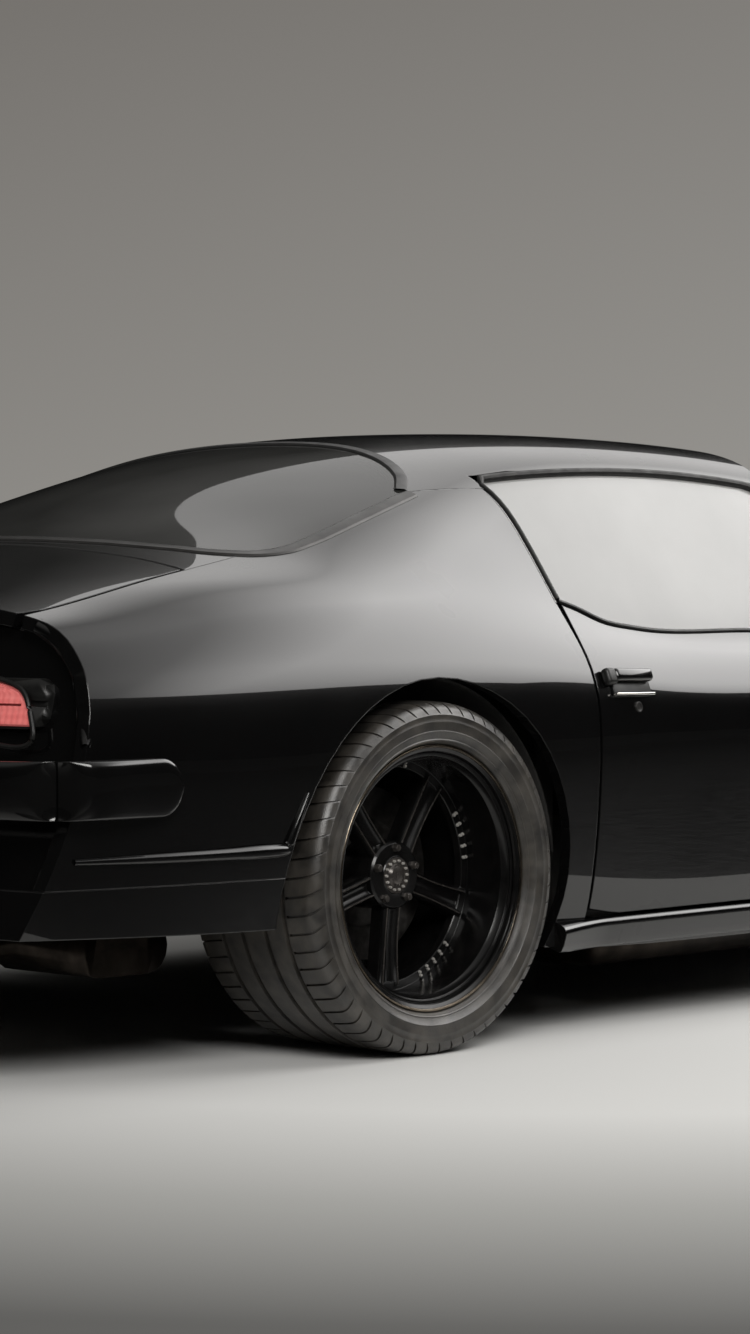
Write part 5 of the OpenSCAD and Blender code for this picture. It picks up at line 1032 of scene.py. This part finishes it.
def door_mirror():
    """Door mirror: a rounded shell on a short foot, with its glass facing back."""
    x, y, z = DOOR_FRONT_X - 0.142, 0.895, 0.850
    a = np.linspace(0, 2 * math.pi, 48, endpoint=False)
    ring = np.stack([np.zeros(48), squarish(np.cos(a), 0.7) * 0.058, squarish(np.sin(a), 0.7) * 0.038], axis=1)

    def rings(steps):
        return Shape().grid(np.array([ring * size + (x + run, y, z) for run, size in steps]), across=True)

    shell = rings([(-0.005, 0.90), (-0.012, 0.97), (-0.008, 1.0), (0.010, 1.0), (0.026, 0.93), (0.038, 0.76),
                   (0.045, 0.50), (0.048, 0.02)])
    foot_line = [(x - 0.004, 0.822, 0.786), (x, 0.838, 0.800), (x + 0.008, 0.858, 0.822), (x + 0.012, 0.878, 0.842)]
    foot = Shape().grid(tube(foot_line, [0.021, 0.018, 0.016, 0.020], 20), across=True)
    pair("mirror_shell", shell, PAINT, "door_")
    pair("mirror_glass", rings([(-0.006, 0.90), (-0.0065, 0.5), (-0.007, 0.01)]), LAMP_BOWL, "door_")
    pair("mirror_foot", foot, PAINT, "door_")


# Depth of a door's inner face, and the place of its window crank
DOOR_T = 0.096
CRANK_X, CRANK_Z = -0.02, 0.44


def door_card():
    """Padded panel inside a door, in upright channels."""
    channel, x_line = 0.0725, np.linspace(DOOR_REAR_X + 0.10, DOOR_FRONT_X - 0.20, 180)
    xx, zz = np.meshgrid(x_line, np.linspace(0.300, 0.690, 40), indexing="ij")
    skin, normal = ROOF.beside(xx.ravel(), zz.ravel())
    edge = np.minimum(np.minimum(xx - xx.min(), xx.max() - xx), np.minimum(zz - zz.min(), zz.max() - zz)).ravel()
    swell = np.abs(np.sin((xx.ravel() - xx.min()) * math.pi / channel)) ** 0.6 * np.clip(edge / 0.02, 0, 1)
    depth = DOOR_T + 0.006 * np.clip(edge / 0.008, -1, 1) + 0.006 * swell - 0.004
    return Shape().grid((skin - normal * depth[:, None]).reshape(xx.shape + (3,)))


def window_crank():
    """Hub, arm and knob on the inside of the door."""
    crank = Shape()
    hub = lathe([(0.020, 0.0), (0.020, 0.010), (0.014, 0.016), (0.0001, 0.017)], 32)[..., [0, 2, 1]] * (1, -1, 1)
    arm = tube([(0, -DOOR_T - 0.020, 0), (-0.05, -DOOR_T - 0.026, -0.06)], 0.006, 10)
    knob = door_block((0.024, 0.034, 0.024), 0.010, (-0.05, -DOOR_T - 0.038, -0.06), CRANK_X, CRANK_Z)
    crank.grid(on_door(hub + (0, -DOOR_T - 0.006, 0), CRANK_X, CRANK_Z), around=True)
    crank.grid(on_door(arm, CRANK_X, CRANK_Z), across=True)
    return crank.grid(knob, around=True)


def door_inside():
    """Lining of each door: padded card, armrest, pull and window crank."""
    rest = door_block((0.380, 0.064, 0.050), 0.020, (0, -DOOR_T - 0.026, 0), -0.42, 0.520)
    pull = door_block((0.110, 0.016, 0.022), 0.007, (0, -DOOR_T - 0.012, 0), -0.02, 0.560)
    pair("door_card", door_card(), HIDE, "door_")
    pair("door_armrest", Shape().grid(rest, around=True), GRIP, "door_")
    pair("door_pull", Shape().grid(pull, around=True), BRIGHT, "door_")
    pair("door_crank", window_crank(), BRIGHT, "door_")


door_hardware()
door_mirror()
door_inside()


# --- Lips of the lower body ---

# Bead along the quarter's lower ledge and up the rear of the wheel arch. Columns: x, z, radius.
LEDGE_LINE = np.array([[-2.225, 0.400, 0.005], [-2.05, 0.381, 0.009], [-1.90, 0.364, 0.011], [-1.83, 0.357, 0.013],
                       [-1.800, 0.362, 0.0125], [-1.784, 0.386, 0.011], [-1.772, 0.420, 0.009],
                       [-1.756, 0.462, 0.006], [-1.738, 0.504, 0.002]])
# Section of the sill's ledge. Columns: distance out from the skin, height.
SILL_SECTION = np.array([[-0.004, 0.2220], [0.006, 0.2225], [0.0115, 0.2205], [0.0150, 0.2160], [0.0165, 0.2090],
                         [0.0165, 0.1880], [0.0150, 0.1750], [0.0125, 0.1690], [0.0060, 0.1655], [-0.004, 0.1650]])


def ledge_bead():
    line = resample(LEDGE_LINE, 0.012)
    place, normal = ROOF.beside(line[:, 0], line[:, 1])
    return tube(place + normal * 0.002, line[:, 2], 14)


def sill_ledge():
    """Ledge along the sill, which flares out ahead of the rear wheel."""
    x = np.concatenate([np.linspace(-1.024, -0.86, 24), np.linspace(-0.84, 0.96, 46)])
    flare = 1 + 1.1 * np.clip((-0.875 - x) / 0.15, 0, 1) ** 1.5
    rows = []
    for out, z in SILL_SECTION:
        place, normal = ROOF.beside(x, np.full(len(x), z), 0.0, 3.0)
        rows.append(place + normal * (out * flare)[:, None])
    return np.stack(rows, axis=1)


def tail_roll():
    """Rounded corner where the quarter's side turns into the tail face."""
    low, high, widest = 0.600, 0.835, 0.024
    z = np.linspace(low, high, 40)
    x = np.full(len(z), TAIL_X + 0.05)
    for _ in range(5):
        side, normal = ROOF.beside(x, z)
        x = tail_point(side[:, 1], z, 0.0)[:, 0]
    radius = widest * np.sqrt(np.clip((np.minimum(z - low, high - z) + 0.004) / 0.05, 0.02, 1))
    back = tail_face(0.0).project(side)[1]
    return tube(side - (normal + back) * (radius - 0.005)[:, None], radius, 24)


sill_grid = sill_ledge()
sill = Shape().grid(sill_grid).cap(sill_grid[0]).cap(sill_grid[-1])
pair("tail_roll", Shape().grid(tail_roll(), across=True), PAINT)
pair("ledge_bead", Shape().grid(ledge_bead(), across=True), PAINT)
pair("sill_ledge", sill, PAINT, smooth=50)


# --- Plain CAD nodes ---

FINISHES = {
    "floor_pan": UNDER, "inner_panels": UNDER, "aprons": UNDER, "door_posts": UNDER, "front_subframe": UNDER,
    "fuel_tank": STEEL, "drive_shaft": STEEL, "rear_axle": CAST, "knuckle_left": CAST, "knuckle_right": CAST,
    "engine": ENGINE, "exhaust": PIPE, "dashboard": DASH, "steering_wheel": GRIP, "grille": BLACK_TRIM,
}
for node, finish in FINISHES.items():
    piece(node + "_finish", copy_mesh(node), finish, NODES[node]["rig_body"], [node])


# --- Front lamps and grille mesh ---

HEAD_Y, HEAD_Z = 0.636, 0.604


def nose_point(y, z, shift):
    """Points behind the nose face, at given half widths and heights."""
    y, z = np.asarray(y, float), np.asarray(z, float)
    x = NOSE_X - shift - NOSE_R + np.sqrt(NOSE_R**2 - y**2) + (z - NOSE_Z) * math.tan(math.radians(NOSE_LEAN))
    return np.stack([x, y, z], axis=-1)


def facing(centre, way):
    """Maps a piece drawn about the Z axis to face along X, with its Z axis ahead (1) or back (-1)."""
    return lambda p: np.stack([centre[0] + way * p[..., 2], centre[1] + p[..., 0], centre[2] + p[..., 1]], axis=-1)


def headlamp():
    """Round lamp: a bowl with its bulb, a fluted glass and a bright ring."""
    aim = facing(nose_point(HEAD_Y, HEAD_Z, 0.024), 1)
    bowl = lathe([(0.0120, -0.066), (0.0300, -0.062), (0.0550, -0.050), (0.0750, -0.032), (0.0880, -0.010),
                  (0.0900, 0)], 72)
    bulb = lathe([(0.0001, -0.020), (0.0060, -0.022), (0.0090, -0.028), (0.0090, -0.050), (0.0120, -0.056),
                  (0.0120, -0.067)], 24)
    ring = lathe([(0.0912, -0.008), (0.0912, 0.004), (0.0890, 0.006), (0.0855, 0.0035), (0.0850, -0.002)], 96)
    dome = [(0.088 * math.cos(a), 0.0115 * math.sin(a)) for a in np.linspace(0.05, 1.56, 22)]
    glass = lathe([(0.0895, -0.002)] + dome, 96)
    glass[..., 2] += 0.0005 * np.abs(np.sin(glass[..., 0] * math.pi / 0.012)) * (glass[..., 2] > 0.001)
    for part, grid, look, slot in (("bowl", bowl, LAMP_BOWL, None), ("bulb", bulb, STUDS, None),
                                   ("ring", ring, BRIGHT, None), ("glass", glass, LAMP_GLASS, "lamp_glass")):
        replaced = ["headlamps"] if part == "bowl" else ()
        pair("headlamp_" + part, Shape().grid(aim(grid), around=True), look, "body", replaced)


def grille_mesh():
    """Fine woven wires behind the grille bars."""
    shape, pitch, wire = Shape(), 0.011, 0.0011
    for z in np.arange(0.552, 0.660, pitch):
        y = np.linspace(0.054, 0.492, 40)
        shape.grid(tube(nose_point(y, np.full(40, z), 0.052), wire, 5), across=True)
    for y in np.arange(0.060, 0.490, pitch):
        outward = (y - 0.046) / 0.454
        z = np.linspace(0.546 + 0.016 * outward, 0.662 - 0.022 * outward, 6)
        shape.grid(tube(nose_point(np.full(6, y), z, 0.0535), wire, 5), across=True)
    return shape


headlamp()
pair("grille_mesh", grille_mesh(), STEEL)


# --- Engine dressing ---

ENGINE_X, ENGINE_L, BANK_FOOT_Z, BANK_H = FRONT_X - 0.640, 0.560, 0.340, 0.330
CLEANER_R, CLEANER_LOW, CLEANER_HIGH = 0.1785, 0.6795, 0.7425


def on_bank(points):
    """Places a piece drawn about the origin (X along the engine, Z out of the bank) on the left cylinder bank."""
    lean = math.sqrt(0.5)
    y, z = points[..., 1], points[..., 2] + BANK_H
    return np.stack([points[..., 0] + ENGINE_X + ENGINE_L / 2, (y + z) * lean, BANK_FOOT_Z + (z - y) * lean], axis=-1)


def air_cleaner():
    """Round filter case: a pan and a lid with a pleated ring between them."""
    r, low, high = CLEANER_R, CLEANER_LOW, CLEANER_HIGH
    centre = np.array([ENGINE_X + ENGINE_L / 2, 0, 0])
    case = Shape()
    pan = [(0.08, low - 0.0005), (r - 0.006, low - 0.0005), (r + 0.001, low + 0.003), (r + 0.0015, low + 0.010),
           (r, low + 0.014)]
    lid = [(r, high - 0.018), (r + 0.0015, high - 0.014), (r + 0.001, high - 0.006), (r - 0.006, high + 0.0005),
           (r - 0.030, high + 0.0010), (r - 0.034, high + 0.0025), (0.030, high + 0.0030), (0.0001, high + 0.0030)]
    for profile in (pan, lid):
        case.grid(lathe(profile, 120) + centre, around=True)
    case.grid(stud(centre[0], 0, high + 0.0020, 0.009, 0.010, 6), around=True)
    ring = lathe([(r, low + 0.012), (r + 0.0004, low + 0.016), (r + 0.0004, high - 0.020), (r, high - 0.016)], 480)
    ring[::2, :, :2] *= 1.006
    return case, Shape().grid(ring + centre, around=True)


def valve_cover():
    """Finned cover on a cylinder bank, with its bolts."""
    cover, bolts = Shape(), Shape()
    cover.grid(on_bank(rounded_box((0.500, 0.176, 0.020), 0.008) + (0, 0, 0.006)), around=True)
    cover.grid(on_bank(rounded_box((0.470, 0.140, 0.056), 0.018) + (0, 0, 0.022)), around=True)
    for k in range(5):
        cover.grid(on_bank(rounded_box((0.380, 0.006, 0.014), 0.0028) + (0, -0.044 + 0.022 * k, 0.051)), around=True)
    for x in np.linspace(-0.215, 0.215, 4):
        for y in (-0.079, 0.079):
            bolts.grid(on_bank(stud(x, y, 0.014, 0.007, 0.009, 6)), around=True)
    return cover, bolts


def plug_leads():
    """Ignition leads from behind the filter to the foot of each cover."""
    shape = Shape()
    for k in range(4):
        x = -0.190 + 0.125 * k
        end = on_bank(np.array([x, 0.116, -0.030]))
        top = on_bank(np.array([x - 0.020, 0.098, 0.034]))
        line = [(ENGINE_X + 0.030, 0.020 + 0.012 * k, 0.520), (ENGINE_X + 0.020, 0.060 + 0.012 * k, 0.580),
                (ENGINE_X + 0.040 + 0.03 * k, 0.200, 0.610 - 0.006 * k), tuple(top), tuple(end)]
        shape.grid(tube(resample(line, 0.012), 0.0040, 8), across=True)
    return shape


case, paper = air_cleaner()
single("air_cleaner_case", case, BRIGHT)
single("air_cleaner_paper", paper, FILTER)
cover, bolts = valve_cover()
pair("valve_cover", cover, STEEL)
pair("cover_bolts", bolts, STUDS)
pair("plug_leads", plug_leads(), RUBBER)


# --- Cabin ---

SEAT_Y, SEAT_HALF, REAR_SEAT_HALF = 0.442, 0.245, 0.536
PAD_SWELL, PAD_VOXEL, PAD_FRAMES = 0.014, 0.013, 20
SEAM_HALF, SEAM_PITCH, SEAM_AT = 0.007, 0.11, 0.56


def loose_solids(node):
    """Meshes of the separate solids of a CAD node."""
    bm = welded(NODES[node].data)
    bm.verts.index_update()
    verts = list(bm.verts)
    group = [-1] * len(verts)
    count = 0
    for start in verts:
        if group[start.index] >= 0:
            continue
        todo = [start]
        while todo:
            vert = todo.pop()
            if group[vert.index] < 0:
                group[vert.index] = count
                todo.extend(edge.other_vert(vert) for edge in vert.link_edges)
        count += 1
    solids = []
    for k in range(count):
        own = [v for v in verts if group[v.index] == k]
        place = {v.index: i for i, v in enumerate(own)}
        faces = [[place[v.index] for v in f.verts] for f in bm.faces if group[f.verts[0].index] == k]
        mesh = bpy.data.meshes.new(node + "_solid")
        mesh.from_pydata([tuple(v.co) for v in own], [], faces)
        solids.append(mesh)
    bm.free()
    return solids


def baked(obj):
    """The object's mesh with its modifiers applied."""
    mesh = bpy.data.meshes.new_from_object(obj.evaluated_get(bpy.context.evaluated_depsgraph_get()))
    obj.modifiers.clear()
    obj.data = mesh
    return mesh


def seam_points(points, middle, half):
    """Which points of a seat are sewn down: its border, its underside, two seams along it and some across."""
    y = np.abs(points[:, 1] - middle)
    low = points[:, 2].min()
    border = (y > half - 0.010) | (points[:, 2] < low + 0.030)
    along_seat = np.abs(y - half * SEAM_AT) < SEAM_HALF
    reach = (points[:, 0] - points[:, 0].min()) + (points[:, 2] - low)
    across_seat = (np.abs((reach + 0.05) % SEAM_PITCH - SEAM_PITCH / 2) < SEAM_HALF) & (y < half * SEAM_AT)
    return border | along_seat | across_seat


def upholster(obj, middle, half):
    """Stuffs a seat: its cover is blown up between the seams, by no more than the swell."""
    even = obj.modifiers.new("even", "REMESH")
    even.mode = "VOXEL"
    even.voxel_size = PAD_VOXEL
    mesh = baked(obj)
    rest = points_of(mesh)
    seams = obj.vertex_groups.new(name="seams")
    seams.add(np.flatnonzero(seam_points(rest, middle, half)).tolist(), 1.0, "REPLACE")
    cloth = obj.modifiers.new("stuffing", "CLOTH")
    cloth.settings.vertex_group_mass = "seams"
    cloth.settings.use_pressure = True
    cloth.settings.uniform_pressure_force = 4
    cloth.settings.effector_weights.gravity = 0
    cloth.point_cache.frame_end = PAD_FRAMES
    for frame_number in range(1, PAD_FRAMES + 1):
        bpy.context.scene.frame_set(frame_number)
    move = points_of(baked(obj)) - rest
    bpy.context.scene.frame_set(1)
    length = np.maximum(np.linalg.norm(move, axis=1, keepdims=True), 1e-9)
    obj.data.vertices.foreach_set("co", (rest + move * np.minimum(1, PAD_SWELL / length)).ravel())
    finer = obj.modifiers.new("finer", "SUBSURF")
    finer.levels = finer.render_levels = 1
    baked(obj).shade_smooth()


for number, solid in enumerate(loose_solids("seats")):
    centre = points_of(solid)[:, 1].mean()
    seat = piece("seat_%d" % number, solid, HIDE, "body", ["seats"])
    if abs(centre) > SEAT_Y / 2:
        upholster(seat, math.copysign(SEAT_Y, centre), SEAT_HALF)
    else:
        upholster(seat, 0.0, REAR_SEAT_HALF)


DASH_X, DASH_Z, DASH_SLOPE = DOOR_FRONT_X - 0.242, 0.575, 0.0625
# Instruments: half width, height and radius
GAUGES = [(0.530, 0.662, 0.052), (0.354, 0.662, 0.052), (0.180, 0.690, 0.026), (0.105, 0.690, 0.026),
          (0.030, 0.690, 0.026)]


def dash_point(y, z, out=0.0):
    """A place in front of the dash face."""
    return np.array([DASH_X + (z - DASH_Z) * DASH_SLOPE - out, y, z])


def gauge(number, y, z, radius):
    """Round instrument on the dash face: bright ring, dial, marks and a needle."""
    aim = facing(dash_point(y, z), -1)
    ring = lathe([(radius, -0.004), (radius, 0.010), (radius - 0.003, 0.012), (radius - 0.006, 0.009),
                  (radius - 0.007, 0.003)], 64)
    dial = lathe([(radius - 0.005, 0.003), (radius * 0.5, 0.0035), (0.0001, 0.0035)], 48)
    marks, needle = Shape(), Shape()
    for a in np.linspace(-0.7, math.pi + 0.7, 13):
        reach = [(radius - 0.010) * k for k in (0.80, 0.98)]
        marks.grid(aim(tube([(r * math.cos(a), r * math.sin(a), 0.0040) for r in reach], 0.0008, 5)), across=True)
    pointer = tube([(0, 0, 0.005), (-radius * 0.35, -radius * 0.45, 0.005)], [0.0022, 0.0007], 6)
    needle.grid(aim(pointer), across=True)
    needle.grid(aim(lathe([(0.007, 0.004), (0.006, 0.007), (0.0001, 0.0075)], 20)), around=True)
    for part, shape, look in (("ring", Shape().grid(aim(ring), around=True), BRIGHT),
                              ("dial", Shape().grid(aim(dial), around=True), BLACK_TRIM),
                              ("marks", marks, STUDS), ("needle", needle, LENS_BAR)):
        single("gauge_%s_%d" % (part, number), shape, look)


def dash_block(label, size, radius, y, z, look, out=0.004):
    """A rounded block on the dash face."""
    single(label, Shape().grid(rounded_box(size, radius) + dash_point(y, z, out), around=True), look)


for number, row in enumerate(GAUGES):
    gauge(number, *row)
dash_block("glove_lid", (0.016, 0.330, 0.105), 0.007, -0.420, 0.655, GRIP)
dash_block("glove_catch", (0.018, 0.040, 0.012), 0.005, -0.420, 0.690, BRIGHT, 0.009)
dash_block("dash_panel", (0.014, 0.230, 0.070), 0.006, 0.105, 0.625, BLACK_TRIM)
for number, y in enumerate((0.045, 0.105, 0.165)):
    dash_block("dash_knob_%d" % number, (0.026, 0.022, 0.022), 0.009, y, 0.620, STUDS, 0.014)
for number, y in enumerate((-0.590, -0.060, 0.610)):
    dash_block("vent_frame_%d" % number, (0.016, 0.085, 0.060), 0.006, y, 0.690, BLACK_TRIM)
    for k in range(4):
        name, z = "vent_slat_%d_%d" % (number, k), 0.672 + 0.012 * k
        dash_block(name, (0.012, 0.072, 0.004), 0.0018, y, z, GREY_TRIM, 0.009)


# --- Stage ---


def stage_mesh(name, shape, material):
    mesh = shape.mesh(name)
    obj = bpy.data.objects.new(name, mesh)
    bpy.context.scene.collection.objects.link(obj)
    mesh.materials.append(material)
    return obj


def gloss_panel(name, x_span, y_span, z, material):
    """Level panel that shows in reflections only."""
    corners = np.array([[(x, y, z) for y in y_span] for x in x_span])
    panel = stage_mesh(name, Shape().grid(corners), material)
    panel.visible_diffuse = panel.visible_shadow = panel.visible_camera = False


VIEW_YAW, VIEW_PITCH = 0.805, -0.0251
AHEAD = np.array([math.sin(VIEW_YAW), math.cos(VIEW_YAW), 0.0])
ASIDE = np.array([AHEAD[1], -AHEAD[0], 0.0])
# Glowing cloth overhead: its extent, its strength, and its level by the place in that extent
SCRIM_X, SCRIM_Y, SCRIM_Z, SCRIM_POWER = (-2.9, 6.3), (-5.8, 3.2), 3.57, 4.3
SCRIM_LEVELS = {
    "X": (SCRIM_X, ((0.0, 0.06), (0.20, 0.14), (0.30, 0.30), (0.44, 0.95), (0.60, 1.0))),
    "Y": (SCRIM_Y, ((0.0, 0.60), (0.25, 1.0), (0.55, 0.95), (0.72, 0.30), (1.0, 0.22))),
}


def floor_look():
    """Floor with a painted pool of light: pale near the car, darkening away from it."""
    look = Look("floor", Roughness=0.6, Specular_IOR_Level=0.0)
    distance = add_node(look.tree, "VectorMath")
    distance.operation = "LENGTH"
    look.link(look.coords, distance.inputs[0])
    pool_falloff = add_span(look.tree, distance.outputs["Value"], 0.0, 10.0)
    # Painted pool of light: the colour falls from pale to dark grey between 2.4 and 4.2 m from the middle of the car
    look.colour(pool_falloff, (0.0, (0.80, 0.80, 0.79)), (0.24, (0.78, 0.78, 0.77)), (0.33, (0.42, 0.42, 0.41)),
                (0.42, (0.13, 0.13, 0.127)), (0.70, (0.10, 0.10, 0.098)))
    look.bump(look.noise(40, 3), 0.03, 0.001)
    return look.material


def scrim_look():
    """Glow that fades towards the car's tail and its far side."""
    material, tree, surface = bare_material("scrim")
    glow = add_node(tree, "Emission", Color=(1.0, 0.985, 0.97, 1))
    place = add_node(tree, "SeparateXYZ")
    tree.links.new(add_node(tree, "TexCoord").outputs["Object"], place.inputs[0])
    level, power = add_node(tree, "Math"), add_node(tree, "Math")
    level.operation = power.operation = "MULTIPLY"
    for k, (axis, (span, stops)) in enumerate(SCRIM_LEVELS.items()):
        at = add_span(tree, place.outputs[axis], *span)
        grey = add_ramp(tree, at, [(where, (value, value, value)) for where, value in stops])
        tree.links.new(grey, level.inputs[k])
    power.inputs[1].default_value = SCRIM_POWER
    tree.links.new(level.outputs["Value"], power.inputs[0])
    tree.links.new(power.outputs["Value"], glow.inputs["Strength"])
    tree.links.new(glow.outputs["Emission"], surface)
    return material


def build_stage():
    """Floor, lamps, and the panels that shape the reflections in the paint."""
    floor = Shape().grid(lathe([(60.0, 0.0), (20.0, 0.0), (6.0, 0.0), (0.001, 0.0)], 96), around=True)
    stage_mesh("floor", floor, floor_look())
    overhead = soft_light("overhead", (3.3, -2.1, 3.6), (3.3, -2.1, 0.0), 6.0, 3.8, 215)
    overhead.visible_glossy = False
    soft_light("side", (-4.2, -4.6, 3.6), (-1.4, -0.9, 0.2), 3.0, 2.2, 170)
    gloss_panel("scrim", SCRIM_X, SCRIM_Y, SCRIM_Z, scrim_look())
    gloss_panel("flag", (-1.2, 9.0), (-9.0, -1.5), 0.004, BLACK_TRIM)
    gloss_panel("flag_tail", (-4.0, -1.2), (-9.0, -1.12), 0.004, BLACK_TRIM)
    sky()


def soft_light(name, place, aim, width, depth, watts):
    """Wide lamp that the camera doesn't see."""
    data = bpy.data.lights.new(name, "AREA")
    data.shape = "RECTANGLE"
    data.size, data.size_y = width, depth
    data.energy = watts
    data.color = (1.0, 0.985, 0.96)
    obj = bpy.data.objects.new(name, data)
    bpy.context.scene.collection.objects.link(obj)
    obj.location = place
    obj.rotation_euler = (Vector(aim) - Vector(place)).to_track_quat("-Z", "Y").to_euler()
    obj.visible_camera = False
    return obj


def room_ramp(tree, toward, low, high, *stops):
    """Colour of the room by direction, along a given way."""
    along_way = add_node(tree, "VectorMath")
    along_way.operation = "DOT_PRODUCT"
    along_way.inputs[1].default_value = toward
    tree.links.new(add_node(tree, "TexCoord").outputs["Generated"], along_way.inputs[0])
    return add_ramp(tree, add_span(tree, along_way.outputs["Value"], low, high), stops)


def sky():
    """Room: a dim surround that lights the car, and a warm grey backdrop behind it."""
    world = bpy.data.worlds.new("room")
    bpy.context.scene.world = world
    world.use_nodes = True
    tree = world.node_tree
    surround = room_ramp(tree, (0, 0, 1), 0.0, 1.0, (0.16, (0.005, 0.005, 0.005)), (0.34, (0.016, 0.016, 0.015)),
                         (0.70, (0.27, 0.265, 0.255)))
    backdrop = room_ramp(tree, (ASIDE[0] * 0.3, ASIDE[1] * 0.3, -1.0), -0.18, 0.02, (0.0, (0.178, 0.168, 0.155)),
                         (1.0, (0.300, 0.290, 0.272)))
    seen = add_node(tree, "LightPath")
    mix = add_node(tree, "Mix")
    mix.data_type = "RGBA"
    tree.links.new(seen.outputs["Is Camera Ray"], mix.inputs["Factor"])
    tree.links.new(surround, mix.inputs[6])
    tree.links.new(backdrop, mix.inputs[7])
    tree.links.new(mix.outputs[2], tree.nodes["Background"].inputs["Color"])


def set_camera():
    """Camera at the photo's angle."""
    data = bpy.data.cameras.new("camera")
    data.lens = 102.5
    data.clip_end = 100
    camera = bpy.data.objects.new("camera", data)
    bpy.context.scene.collection.objects.link(camera)
    camera.location = (-6.550, -5.714, 0.900)
    look = Vector(AHEAD * math.cos(VIEW_PITCH)) + Vector((0, 0, math.sin(VIEW_PITCH)))
    camera.rotation_euler = look.to_track_quat("-Z", "Y").to_euler()
    bpy.context.scene.camera = camera


build_stage()
set_camera()
bpy.context.scene.view_settings.view_transform = "Standard"
